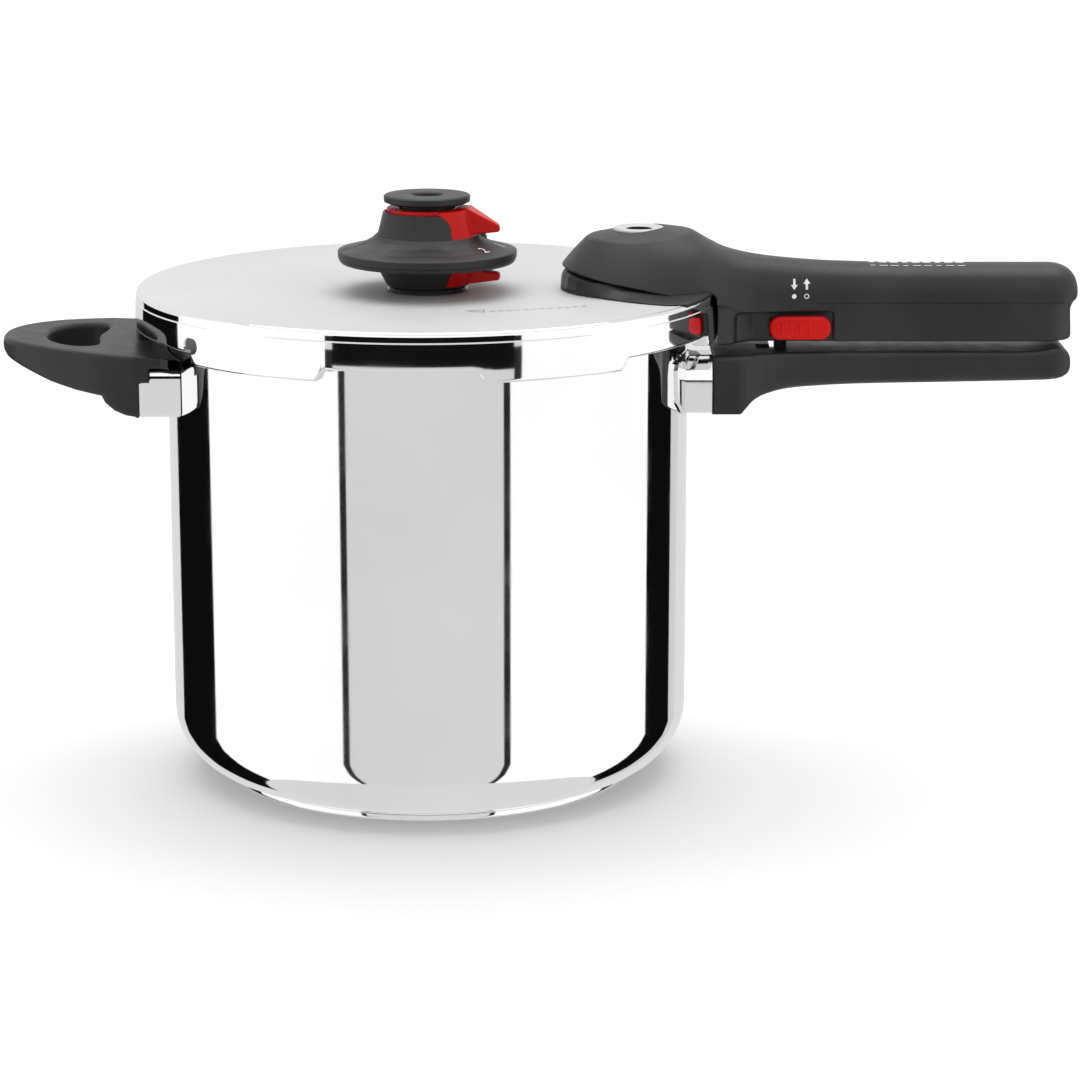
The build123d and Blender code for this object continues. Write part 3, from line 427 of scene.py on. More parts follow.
def field_solid(name, field, low, high, step, material, body, node=None):
    """Skins the zero level of a field over a box with quads, one vertex to a grid cell."""
    step = step if FINE else step * 2.0
    low = np.array(low, float)
    counts = np.ceil((np.array(high, float) - low) / step).astype(int) + 1
    axes = [low[axis] + step * np.arange(counts[axis]) for axis in range(3)]
    values = np.broadcast_to(field(*np.meshgrid(*axes, indexing="ij", sparse=True)),
                             counts).astype(np.float32)
    inside = values < 0.0
    corners = [(i, j, k) for i in (0, 1) for j in (0, 1) for k in (0, 1)]
    cells = tuple(counts - 1)
    filled = sum(inside[i:i + cells[0], j:j + cells[1], k:k + cells[2]].astype(np.int8) for i, j,
                 k in corners)
    mixed = (filled > 0) & (filled < 8)
    index = np.full(cells, -1, np.int64)
    index[mixed] = np.arange(mixed.sum())
    cell = np.argwhere(mixed)
    total = np.zeros((len(cell), 3))
    hits = np.zeros(len(cell))
    for axis in range(3):
        for corner in corners:
            if corner[axis]:
                continue
            first = cell + corner
            second = first + np.eye(3, dtype=int)[axis]
            a, b = values[tuple(first.T)], values[tuple(second.T)]
            crossing = (a < 0) != (b < 0)
            share = a[crossing] / (a[crossing] - b[crossing])
            total[crossing] += first[crossing] + share[:, None] * np.eye(3)[axis]
            hits[crossing] += 1
    vertices = low + step * total / hits[:, None]
    for _ in range(SNAP_ROUNDS):
        slope = field_slope(field, vertices)
        move = slope * (field(*vertices.T) / np.maximum((slope ** 2).sum(1), 0.05))[:, None]
        vertices -= np.clip(move, -0.5 * step, 0.5 * step)
    faces = []
    for axis in range(3):
        one, two = [other for other in range(3) if other != axis]
        before = np.moveaxis(inside, axis, 0)
        change = np.moveaxis(before[:-1] != before[1:], 0, axis)
        edge = np.argwhere(change)
        within = (edge[:, one] > 0) & (edge[:, two] > 0)
        within &= (edge[:, one] < cells[one]) & (edge[:, two] < cells[two])
        edge = edge[within]
        ring = []
        for shift_one, shift_two in ((0, 0), (1, 0), (1, 1), (0, 1)):
            place = edge.copy()
            place[:, one] -= shift_one
            place[:, two] -= shift_two
            ring.append(index[tuple(place.T)])
        quads = np.stack(ring, 1)
        outward = inside[tuple(edge.T)] != (axis == 1)
        quads[~outward] = quads[~outward][:, ::-1]
        faces.append(quads)
    slope = field_slope(field, vertices)
    length = np.linalg.norm(slope, axis=1)
    slope[length < FLAT_SLOPE] = (0.0, 0.0, FLAT_SLOPE)
    normals = slope / np.maximum(length, FLAT_SLOPE)[:, None]
    return add_piece(name, vertices, np.concatenate(faces).tolist(), material, body, node, normals=normals)


# ---------------------------------------------------------------- pot, base, brackets
def near_lug(angle, half_angle, blend=2.4):
    """1 over a bayonet lug, 0 between lugs, with a smooth step of blend degrees."""
    pitch = 360.0 / LUG_COUNT
    away = abs((angle - FIRST_LUG_ANGLE + pitch / 2) % pitch - pitch / 2)
    t = min(1.0, max(0.0, (half_angle + blend / 2 - away) / blend))
    return t * t * (3 - 2 * t)


def lug_angles(half_angle, blend=2.4):
    """Angles for a turned shape with lugs, closer together at the steps."""
    angles = []
    pitch = 360.0 / LUG_COUNT
    for lug in range(LUG_COUNT):
        centre = FIRST_LUG_ANGLE + lug * pitch
        low, high = half_angle - blend / 2, half_angle + blend / 2
        for start, end, steps in ((-low, low, 24), (low, high, 12), (high, pitch - high, 24),
                                  (pitch - high, pitch - low, 12)):
            angles += [centre + start + (end - start) * step / steps for step in range(steps)]
    return angles


def pot_section(angle):
    """Outline of the pot's wall at one angle, with its flange longer and turned down at a lug."""
    lug = near_lug(angle, POT_LUG_HALF_ANGLE)
    inner = POT_RADIUS - POT_WALL
    floor_z = BASE_THICKNESS + POT_WALL
    reach = FLANGE_RADIUS + (POT_LUG_RADIUS - FLANGE_RADIUS) * lug
    drop = POT_WALL + 0.5 + 8.1 * lug
    low = RIM_Z - POT_WALL
    return [
        (0.0, floor_z), (0.0, BASE_THICKNESS), (POT_RADIUS, BASE_THICKNESS, CORNER_RADIUS),
        (POT_RADIUS, low, 3.0),
        (reach - POT_WALL, low, 0.2), (reach - POT_WALL, RIM_Z - drop), (reach, RIM_Z - drop),
        (reach, RIM_Z, 0.9), (inner, RIM_Z, 4.0), (inner, floor_z, CORNER_RADIUS - POT_WALL),
    ]


turned("pot_wall", pot_section, STEEL, "pot", "pot_body", angles=lug_angles(POT_LUG_HALF_ANGLE))
turned(
    "base_plate",
    [(0, 0), (BASE_RADIUS, 0, 1.2), (BASE_RADIUS, BASE_THICKNESS - 0.4, 0.3),
     (BASE_RADIUS - 1.0, BASE_THICKNESS - 0.4),
     (BASE_RADIUS - 1.0, BASE_THICKNESS), (0, BASE_THICKNESS)],
    STEEL, "pot", ["base_cap", "base_core"])


# ---------------------------------------------------------------- lid
def lid_section(angle):
    """Outline of the lid at one angle: lug flange at the bottom, or a short rolled lip between lugs."""
    lug = near_lug(angle, LID_LUG_HALF_ANGLE)
    low = NOTCH_Z + (LID_LUG_BOTTOM_Z - NOTCH_Z) * lug
    reach = NOTCH_LIP_RADIUS + (LID_LUG_INNER_RADIUS - NOTCH_LIP_RADIUS) * lug
    inside = LID_RADIUS - LID_SHEET
    return [
        (0.0, LID_CENTRE_Z), (0.0, LID_CENTRE_Z - LID_SHEET), (LID_FLAT_RADIUS, LID_CENTRE_Z - LID_SHEET),
        (inside, LID_EDGE_Z - LID_SHEET, LID_EDGE_ROUND - LID_SHEET), (inside, low + LID_SHEET, 0.5),
        (reach, low + LID_SHEET, 0.5), (reach, low, 0.5), (LID_RADIUS, low, 1.6),
        (LID_RADIUS - SKIRT_DRAFT, LEDGE_Z, 0.25), (LID_RADIUS - SKIRT_DRAFT - 0.35, LEDGE_Z + 0.4, 0.25),
        (LID_RADIUS - SKIRT_DRAFT - 0.4, LID_EDGE_Z, LID_EDGE_ROUND - 0.3),
        (LID_FLAT_RADIUS, LID_CENTRE_Z, 60.0),
    ]


def dull_top(piece, radius):
    """Gives the lid's dished top its satin finish, inside its polished edge."""
    piece.data.materials.append(SATIN_STEEL)
    for face in piece.data.polygons:
        middle = face.center / MM
        if face.normal.z > 0.9 and middle.z > LID_CENTRE_Z - 0.5 and hypot(middle.x, middle.y) < radius:
            face.material_index = 1


lid = turned("lid_sheet", lid_section, STEEL, "lid", "lid_shell", angles=lug_angles(LID_LUG_HALF_ANGLE))


def soft_hole(name, angle, z, half_width, half_height):
    """Cutter for a rounded window through the lid's skirt."""
    outline = rounded([(-half_width, -half_height, half_height), (half_width, -half_height, half_height),
                       (half_width, half_height, half_height), (-half_width, half_height, half_height)])
    turn = radians(angle)
    vertices = []
    for radius in (LID_RADIUS - 6, LID_RADIUS + 6):
        for across, up in outline:
            vertices.append(((radius * cos(turn) - across * sin(turn)) * MM,
                             (radius * sin(turn) + across * cos(turn)) * MM, (z + up) * MM))
    count = len(outline)
    faces = grid_faces(2, count, False, True) + [tuple(range(count))[::-1], tuple(range(count, 2 * count))]
    mesh = bpy.data.meshes.new(name)
    mesh.from_pydata(vertices, [], faces)
    cutter = bpy.data.objects.new(name, mesh)
    bpy.context.scene.collection.objects.link(cutter)
    return cutter


cut(lid, soft_hole("window_cutter", WINDOW_ANGLE, WINDOW_Z, WINDOW_HALF_WIDTH, WINDOW_HALF_HEIGHT),
    cutter_rod(INDICATOR_HOLE_RADIUS, 200, 220, NOSE_X))
dull_top(lid, SATIN_RADIUS)

# ---------------------------------------------------------------- brackets and ferrules
SADDLE_SHEET = 1.5


def pot_face(offset):
    """Distance in X from the axis to a cylinder round the pot, at a Y."""
    return lambda y, z: sqrt((POT_RADIUS + offset) ** 2 - y * y)


def behind(offset):
    """The same on the helper handle's side."""
    return lambda y, z: -sqrt((POT_RADIUS + offset) ** 2 - y * y)


def subdivided(outline, reach=1.5):
    """The outline with extra points, so that it follows a curved face."""
    points = []
    for number, (a, b) in enumerate(outline):
        c, d = outline[(number + 1) % len(outline)]
        steps = max(1, ceil(hypot(c - a, d - b) / reach))
        points += [(a + (c - a) * step / steps, b + (d - b) * step / steps) for step in range(steps)]
    return points


def saddle(name, outline, low, high, node):
    """Sheet that hugs the pot: its outline (y, z) lies on two cylinders."""
    ys = np.linspace(min(y for y, z in outline), max(y for y, z in outline), 60)
    vertices = []
    for y in ys:
        heights = crossings(outline, y)
        bottom, top = min(heights), max(heights)
        for x, z in ((low(y, 0), bottom), (high(y, 0), bottom), (high(y, 0), top), (low(y, 0), top)):
            vertices.append((x, y, z))
    faces = grid_faces(len(ys), 4, False, True)
    last = 4 * (len(ys) - 1)
    faces += [(0, 1, 2, 3), (last + 3, last + 2, last + 1, last)]
    return add_piece(name, vertices, faces, STEEL, "pot", node)


def crossings(outline, y):
    """Heights at which an outline (y, z) crosses one y."""
    found = []
    for number, (a, b) in enumerate(outline):
        c, d = outline[(number + 1) % len(outline)]
        if min(a, c) - 1e-6 <= y <= max(a, c) + 1e-6:
            found += [b, d] if abs(c - a) < 1e-6 else [b + (d - b) * (y - a) / (c - a)]
    return found


FERRULE = rounded([(-27, 160.4, 2), (27, 160.4, 2), (27, 174.7, 1), (26, 179, 1.5), (20, 184.4, 2),
                   (-20, 184.4, 2),
                   (-26, 179, 1.5), (-27, 174.7, 1)])
FERRULE_INSIDE = rounded([(-26, 161.4, 1.2), (26, 161.4, 1.2), (26, 174.7, 1), (25, 178.6, 1),
                          (19.6, 183.4, 1.2),
                          (-19.6, 183.4, 1.2), (-25, 178.6, 1), (-26, 174.7, 1)])


def sleeve(name, outside, inside, near, far, node):
    """Hollow sleeve along X from the pot to its far end."""
    count = len(outside)
    vertices = []
    for outline, level in ((outside, near), (outside, far), (inside, far), (inside, near)):
        vertices += [(level(y, z) if callable(level) else level, y, z) for y, z in outline]
    return add_piece(name, vertices, grid_faces(4, count, True, True), STEEL, "pot", node)


saddle("main_saddle", rounded([(-27, 160, 3), (27, 160, 3), (38, 168, 6), (40, 184, 3), (-40, 184, 3),
                               (-38, 168, 6)]),
       pot_face(0.05), pot_face(SADDLE_SHEET), None)
prism("main_tang", rounded([(-8, 166, 0.5), (8, 166, 0.5), (8, 176, 0.5),
                            (-8, 176, 0.5)]), pot_face(0.5), 135.8,
      PLAIN_STEEL, "pot", "main_bracket", plane="yz")
sleeve("main_sleeve", FERRULE, FERRULE_INSIDE, pot_face(SADDLE_SHEET), 120.5, "main_ferrule")


def helper_outline(gap, corner):
    low, high, half = 162.0 + gap, 182.4 - gap, 45.0 - gap
    return rounded([(-half, low, corner), (half, low, corner), (half, high, corner), (-half, high, corner)])


def stepped(x):
    """Far end of the helper sleeves: it stands back above the step."""
    return lambda y, z: x if z < 176.8 else max(x, -114.4)


def stepped_sleeve(name, gap, x, node):
    """Hollow sleeve with its far end cut back above a step."""
    outside = subdivided(helper_outline(gap, 3.0))
    inside = subdivided(helper_outline(gap + 1.0, 2.2))
    inside = inside + [inside[-1]] * (len(outside) - len(inside))
    return sleeve(name, outside, inside, behind(0.3), stepped(x), node)


stepped_sleeve("helper_sleeve", 0.0, -119.0, "helper_ferrule")
stepped_sleeve("helper_inner_sleeve", 1.1, -113.5, None)
prism("helper_plate", rounded([(-134, -38, 3), (-134, 38, 3), (-90, 38, 3),
                               (-90, -38, 3)])[::-1], 170.0, 173.0,
      PLAIN_STEEL, "pot", "helper_bracket")

# ---------------------------------------------------------------- long handles
GRIP_HALF_WIDTH = [(80, 24), (96, 29), (106, 30.5), (114, 29.5), (121, 26.5), (130, 21.5), (140, 18),
                   (155, 15.8), (175, 15),
                   (280, 15)]
GRIP_TOP = [(56, 234), (95, 233.5), (106, 233.2), (112, 232.6), (119.7, 229.9), (127.3, 226.8),
            (136.4, 224.6),
            (150, 222.8), (172.5, 221.2), (205, 220.5), (280, 220.5)]
GRIP_END = [(188, 274.3), (190.2, 274.3), (201.4, 273.9), (204.5, 275.0), (207.0, 276.5), (209, 276.7),
            (216, 276.7)]
CAVITY = ((130.0, -11.0, 180.0), (262.0, 11.0, 210.0))
BUTTON_SCOOP = [(124, -40), (173.5, -40), (172, -12.8), (137.8, -12.8), (131, -18)]
SCOOP_TOP_Z = 201.8
STEM_SLOT = ((145.7, -40.0, 191.4), (167.3, 0.0, 198.6))


def nose_seam(x):
    """Height of the seam under the nose."""
    return 220.0 - 0.165 * (x - 56.0)


def nose_field(x, y, z):
    """Blunt cone with a flat shoulder round the pressure indicator."""
    across = np.sqrt((x - NOSE_X) ** 2 + y * y)
    side = 0.66 * (across - 22.0) + 0.75 * (z - 232.3)
    skirt = 0.86 * (across - 31.2) + 0.51 * (z - 224.2)
    top = z - 235.2 + 0.22 * np.maximum(across - 9.0, 0.0)
    return smooth_max(smooth_max(side, skirt, 5.0), top, 0.7)


def lid_field(around, z):
    """Signed distance from the lid's outer surface, without its notches."""
    edge_radius, edge_z = LID_RADIUS - LID_EDGE_ROUND, LID_EDGE_Z - LID_EDGE_ROUND
    top = LID_CENTRE_Z + np.clip(around - LID_FLAT_RADIUS, 0.0, edge_radius - LID_FLAT_RADIUS) * LID_SLOPE
    corner = np.hypot(around - edge_radius, z - edge_z) - LID_EDGE_ROUND
    return np.where((around > edge_radius) & (z > edge_z), corner, np.maximum(around - LID_RADIUS, z - top))


def grip_field(x, y, z):
    """Bar with an arched top, stepped in along its lower half and rounded at the end."""
    half = flow(x, GRIP_HALF_WIDTH)
    top = flow(x, GRIP_TOP)
    step = np.clip((GRIP_STEP_Z - z) / 0.9 + 0.5, 0.0, 1.0) * np.clip((x - 150.0) / 25.0, 0.0, 1.0)
    half = half - 1.0 * step
    spring = np.maximum(nose_seam(x) - 1.0, 207.0)
    rise = np.maximum(z - spring, 0.0) / (top - spring)
    side = ((np.abs(y) / half) ** 2.6 + rise ** 2.6 + 1e-9) ** (1 / 2.6) - 1.0
    bar = side * np.minimum(half, 15.0)
    end = x - flow(z, GRIP_END)
    bar = smooth_max(bar, end, 13.0)
    return smooth_max(bar, UPPER_BOTTOM_Z - z, 1.6)


def upper_field(x, y, z):
    nose = smooth_max(nose_field(x, y, z), nose_seam(x) - z, 0.8)
    around = np.sqrt(x * x + y * y)
    bar = smooth_max(grip_field(x, y, z), 92.0 - x, 10.0)
    bar = np.maximum(bar, np.minimum(nose_seam(x) - z, LID_RADIUS - around))
    body = smooth_min(nose, bar, 7.0)
    body = smooth_max(body, 0.5 - lid_field(around, z), 0.8)
    body = np.maximum(body, -box_field(x, y, z, *CAVITY))
    scoop = smooth_max(outline_field(x, y, BUTTON_SCOOP), z - SCOOP_TOP_Z, 2.0)
    body = smooth_max(body, -scoop, 1.4)
    body = np.maximum(body, -box_field(x, y, z, *STEM_SLOT))
    body = np.maximum(body, -rod_field(x, y, z, (NOSE_X, 0), 17.5, 180, 230.5))
    return np.maximum(body, -rod_field(x, y, z, (NOSE_X, 0), 10.6, 220, 260))


field_solid("upper_handle_shape", upper_field, (54, -38, 187),
            (279, 38, 237), 0.6, BLACK, "lid", "upper_handle")

LOWER_HALF_WIDTH = [(118, 25), (131, 25), (134, 24.2), (138, 22), (144, 19.2), (152, 16.8), (163, 15.4),
                    (184, 15),
                    (280, 15)]
LOWER_BOTTOM = [(118, 158.7), (132.6, 158.7), (134.4, 160.2), (138, 163.2), (143, 165.4), (151.5, 167.4),
                (158.8, 168.2), (183.9, 169.5), (225.6, 170.3), (258, 171.0), (280, 172.0)]
LOWER_TOP = [(118, 184.5), (250, 184.5), (258, 184.8), (265, 185.9), (270, 186.9), (280, 187.3)]
LOWER_ROUNDING = [(118, 1.6), (133, 1.6), (142, 6.0), (160, 8.0), (280, 8.0)]


def lower_field(x, y, z):
    half = flow(x, LOWER_HALF_WIDTH)
    bottom = flow(x, LOWER_BOTTOM)
    spring = bottom + flow(x, LOWER_ROUNDING)
    drop = np.maximum(spring - z, 0.0) / (spring - bottom)
    power = 3.4
    side = ((np.abs(y) / half) ** power + drop ** power + 1e-9) ** (1 / power) - 1.0
    body = side * np.minimum(half, 15.0)
    body = smooth_max(body, z - flow(x, LOWER_TOP), 2.4)
    body = smooth_max(body, x - 274.2, 10.0)
    body = smooth_max(body, 120.7 - x, 0.8)
    body = np.maximum(body, -box_field(x, y, z, (140.3, -4.6, 181.2), (153.8, 4.6, 200.0)))
    body = np.maximum(body, -box_field(x, y, z, (146.3, 0.0, 181.2), (153.8, 40.0, 200.0)))
    body = np.maximum(body, -box_field(x, y, z, (100.0, -8.1, 165.9), (136.5, 8.1, 176.1)))
    return np.maximum(body, -rod_field(x, y, z, (128.0, 0.0), 4.0, 150, 162.0))


field_solid("lower_handle_shape", lower_field, (118, -27, 157),
            (276, 27, 189), 0.6, BLACK, "pot", "lower_handle")

# ---------------------------------------------------------------- nose base
NOSE_FOOT_RADIUS = 34.0
NOSE_BASE_EDGE = [(56.6, 0), (57.2, 6), (59.2, 13), (63, 20.5), (69, 28.5), (76.5, 37.5), (85, 46.5),
                  (93, 53.5),
                  (100, 58.0), (106, 59.0), (112, 56.5), (130, 45)]


def mirrored(points):
    return points + [(x, -y) for x, y in reversed(points) if y > 0]


def base_field(x, y, z):
    """Flared plate: a thin brim at its edge that rises to the nose."""
    edge = outline_field(x, y, mirrored(NOSE_BASE_EDGE))
    around = np.sqrt(x * x + y * y)
    cone = LID_CENTRE_Z + (around - LID_FLAT_RADIUS) * LID_SLOPE
    foot = np.minimum(np.hypot(x - NOSE_X, y) - NOSE_FOOT_RADIUS, np.maximum(np.abs(y) - 29.0, NOSE_X - x))
    inward = np.clip(-edge / (np.maximum(-edge, 0.0) + np.maximum(foot, 0.0) + 0.3), 0.0, 1.0)
    rise = inward ** 1.3 * np.maximum(nose_seam(x) - cone - 1.0, 0.3)
    limit = np.where(foot < 0.0, nose_seam(x) - 0.3, 240.0)
    top = (z - np.minimum(cone + 0.8 + rise, limit)) * 0.85
    body = smooth_max(edge, top, 0.8)
    body = np.maximum(body, 0.05 - lid_field(around, z))
    body = np.maximum(body, around - 123.4)
    return np.maximum(body, -rod_field(x, y, z, (NOSE_X, 0), 15.0, 200, 240))


field_solid("nose_base_shape", base_field, (55, -61, 208), (124, 61, 220.5), 0.6, BLACK, "lid", "nose_base")

# ---------------------------------------------------------------- helper handle
HELPER_EDGE = [(-181.5, 0), (-181.2, 5.5), (-179.6, 12.5), (-175.6, 20), (-169, 27.5), (-160, 34.3),
               (-148, 40.3),
               (-135, 44.4), (-122, 46), (-110, 45.6), (-99, 44.5)]
HELPER_SIDE = [(-99, 183), (-99, 186.5), (-107, 187.4), (-122, 188.6), (-140, 189.8), (-160, 190.5),
               (-174, 190.7),
               (-180.3, 190.4), (-181.5, 188), (-180.9, 185.2), (-178, 182.6), (-166, 178.7), (-157, 175.6),
               (-146, 172.9), (-135, 171.0), (-133.6, 168.2), (-129.8, 165.0), (-125, 163.0), (-119.2, 162),
               (-119.2, 176.9), (-114.7, 176.9), (-114.7, 183)]
FINGER_HOLE = [(-162, 0), (-161.6, 7), (-159.8, 14), (-156, 21), (-150.5, 26.4), (-144.8, 28.4), (-140.4, 26),
               (-138.6, 20), (-139.2, 11), (-140.4, 0)]


def softened(points, steps=5):
    """Closed outline with a smooth curve through its points."""
    count = len(points)
    curve = []
    for index in range(count):
        before, start, end, after = (np.array(points[(index + shift) % count], float) for shift in (-1, 0,
                                                                                                    1, 2))
        for step in range(steps):
            t = step / steps
            bend = 2 * before - 5 * start + 4 * end - after
            twist = 3 * start - before - 3 * end + after
            curve.append(tuple(0.5 * (2 * start + (end - before) * t + bend * t * t + twist * t ** 3)))
    return curve


HELPER_PLAN = softened(mirrored(HELPER_EDGE))
HELPER_HOLE = softened(mirrored(FINGER_HOLE))


def helper_field(x, y, z):
    plan = outline_field(x, y, HELPER_PLAN)
    side = outline_field(x, z, HELPER_SIDE)
    hole = outline_field(x, y, HELPER_HOLE)
    body = smooth_max(plan, side, np.where(x < -121, 2.6, 1.2))
    body = smooth_max(body, -hole, 2.6)
    return smooth_max(body, 111.4 - np.sqrt(x * x + y * y), 0.6)


field_solid("helper_handle_shape", helper_field, (-183, -48, 160), (-98, 48, 192), 0.55, BLACK, "pot",
            "helper_handle")

# ---------------------------------------------------------------- lock button
def button_field(x, y, z):
    """Pill with a soft edge and small ribs, on a stem into the handle."""
    pill = outline_field(x, z, rounded([(145, 189.9, 4.4), (171, 189.9, 4.4), (171, 200, 4.4),
                                        (145, 200, 4.4)]))
    ribs = 0.35 * np.clip(1.5 - np.abs((x - 158.0 + 10.0) % 4.0 - 2.0) * 2.0, 0.0,
                          1.0) * (np.abs(x - 158.0) < 8.0)
    ribs = ribs * np.clip(3.6 - np.abs(z - 195.0) * 1.3, 0.0, 1.0)
    front = -17.0 - ribs - y
    body = smooth_max(smooth_max(pill, front, 2.0), y + 13.2, 0.4)
    stem = box_field(x, y, z, (153.0, -14.0, 193.0), (166.7, -4.5, 198.0))
    return np.minimum(body, stem)


field_solid("lock_button_shape", button_field, (144, -19, 188),
            (172, -3, 202), 0.25, RED, "lock", "lock_button")

# ---------------------------------------------------------------- valve
turned("base_ring", [(10.5, 209), (17.3, 209, 0.3), (17.3, 209.8, 0.3), (16.5, 210.1, 0.2),
                     (16.9, 210.5, 0.3),
                     (16.2, 211.3, 0.4), (10.5, 211.3)], GLOSS_BLACK, "lid", "valve_base_ring")
turned("lower_body", [(11.8, 211.4), (17.4, 211.4, 0.5), (20.1, 216.6, 3), (23.0, 221.4, 0.3),
                      (16, 221.4), (16, 231.4),
                      (11.8, 231.4)], BLACK, "lid", "valve_lower_body")
turned("upper_body", [(11.1, 231.7), (21.6, 231.7, 0.3), (20.6, 235.0, 8), (19.0, 241.6, 0.3),
                      (18.7, 242.8, 0.5),
                      (17.7, 242.8, 0.4), (17.4, 241.8), (11.1, 241.8)], BLACK, "lid", "valve_upper_body")

SCALLOPS = (-172.0, -118.0, -72.0, 60.0, 100.0, 145.0)


def dial_section(angle):
    """Outline of the dial at one angle; shallow flutes in its top give a grip."""
    flute = 0.0
    for centre in SCALLOPS:
        away = (angle - centre + 180.0) % 360.0 - 180.0
        if -4.0 < away < 26.0:
            flute = max(flute, min(1.0, (away + 4.0) / 4.0) * (1.0 - max(0.0, away) / 26.0))
    dip = 0.55 * flute
    return [
        (16.06, 231.4), (16.06, 223.2), (32.0, 223.2), (34.0, 221.6, 1.0), (36.8, 221.2, 0.5),
        (37.7, 222.5, 0.3),
        (37.3, 222.9, 0.2), (38.0, 223.3, 0.3), (38.1, 226.2, 0.6), (31.0, 228.0 - dip, 6.0),
        (26.0, 229.9 - dip, 6.0),
        (23.6, 231.3, 2.0), (21.9, 232.9, 0.4),
    ]


turned("dial_disc", dial_section, BLACK, "dial", "valve_dial", arc_steps=6)


def moved(piece, x, y):
    for vertex in piece.data.vertices:
        vertex.co.x += x * MM
        vertex.co.y += y * MM
    return piece


moved(turned("dial_bump", [(0, 232.6, 0.3), (1.6, 232.4, 0.6), (2.3, 231.0), (2.3, 228.0), (0, 228.0)], BLACK,
             "dial"), 23.0, 6.5)
turned("cap", [(0, 245.6), (0, 241), (11, 241), (11, 246.0, 0.5), (16.6, 246.2, 0.4), (18.3, 247.0, 0.3),
               (18.4, 249.3, 0.25), (17.6, 249.9, 0.3), (7.2, 249.9, 0.3), (6.4, 249.3, 0.2), (5.8, 245.6)],
       BLACK, "lid", "valve_cap")


def pointer_frame(x, y):
    """Coordinates along and across the pointers, and the angle away from them."""
    turn = radians(POINTER_ANGLE)
    along = x * cos(turn) + y * sin(turn)
    across = y * cos(turn) - x * sin(turn)
    return along, across, np.degrees(np.arctan2(across, along))


def arm_field(along, across, z, root_z, tip_z):
    """Tapered finger between two pairs of levels (low, high), at its root and its tip."""
    share = np.clip((along - 18.0) / 13.0, 0.0, 1.0)
    low = root_z[0] + (tip_z[0] - root_z[0]) * share
    high = root_z[1] + (tip_z[1] - root_z[1]) * share
    half = 6.2 - 4.2 * share
    body = smooth_max(np.abs(across) - half, np.maximum(low - z, z - high), 0.8)
    return smooth_max(body, np.maximum(12.6 - along, along - 31.2), 1.2)


def upper_pointer_field(x, y, z):
    along, across, away = pointer_frame(x, y)
    radius = np.sqrt(x * x + y * y)
    collar = smooth_max(np.maximum(12.0 - radius, radius - 17.1), np.maximum(241.9 - z, z - 244.4), 0.4)
    surface = (radius - 21.8 + (z - 231.8) * 0.268) * 0.96
    opening = 52.0 + 14.0 * np.clip((z - 237.0) / 6.0, 0.0, 1.0) ** 2
    wedge = smooth_max(surface, radius * np.radians(np.abs(away) - opening), 0.8)
    wedge = smooth_max(wedge, np.maximum(231.8 - z, z - 244.2), 0.6)
    wedge = np.maximum(wedge, 12.6 - radius)
    arm = arm_field(along, across, z, (233.4, 244.8), (234.4, 237.3))
    return smooth_min(np.minimum(collar, wedge), arm, 0.5)


def lower_pointer_field(x, y, z):
    along, across, away = pointer_frame(x, y)
    radius = np.sqrt(x * x + y * y)
    surface = (radius - 18.0 - (z - 212.0) * 0.56) * 0.87
    wedge = smooth_max(surface, radius * np.radians(np.abs(away) - 52.0 - (221.0 - z) * 0.4), 0.6)
    wedge = smooth_max(wedge, np.maximum(212.1 - z, z - 220.9), 0.5)
    wedge = np.maximum(wedge, 14.1 - radius)
    arm = arm_field(along, across, z, (212.6, 219.0), (213.8, 217.0))
    return smooth_min(wedge, arm, 0.5)


field_solid("pointer_shape", upper_pointer_field, (-19, -24, 231),
            (33, 24, 246), 0.3, RED, "lid", "valve_pointer")
field_solid("lower_pointer_shape", lower_pointer_field, (2, -26, 211), (33, 26, 222), 0.3, RED, "lid",
            "valve_lower_pointer")


# ---------------------------------------------------------------- indicator ring
moved(turned("indicator_collar", [
    (5.5, 229.0), (8.4, 229.0), (8.4, 233.5), (11.0, 233.5, 0.2), (11.0, 235.3, 0.5), (10.3, 236.0, 0.4),
    (8.6, 236.0, 0.3), (8.2, 235.6, 0.2), (6.6, 235.6, 0.4),
    (5.5, 234.9, 0.4)], SATIN_STEEL, "lid", "indicator_ring"),
      NOSE_X, 0.0)
moved(turned("indicator_liner", [(5.0, 229.0), (5.45, 229.0), (5.45, 235.3, 0.2),
                                 (5.0, 235.3, 0.2)], BLACK, "lid"),
      NOSE_X, 0.0)

# ---------------------------------------------------------------- printed and moulded marks
INK_LIFT = 0.12
HALVINGS = 24


def settle(field, points, axis, outside, inside):
    """Moves points along one axis, from outside towards inside, onto a field's surface."""
    points = np.array(points, float)
    near = np.full(len(points), float(outside))
    far = np.full(len(points), float(inside))
    for _ in range(HALVINGS):
        middle = (near + far) / 2
        points[:, axis] = middle
        within = field(*points.T) < 0
        far = np.where(within, middle, far)
        near = np.where(within, near, middle)
    points[:, axis] = near
    slope = field_slope(field, points)
    return points + INK_LIFT * slope / np.linalg.norm(slope, axis=1)[:, None]


def mark(name, shapes, place, material, body):
    """Flat shapes, each a list of (a, b), laid on a surface by place(points)."""
    vertices, faces = [], []
    for shape in shapes:
        start = len(vertices)
        vertices += list(shape)
        faces.append(tuple(range(start, len(vertices))))
    return add_piece(name, place(np.array(vertices, float)), faces, material, body)


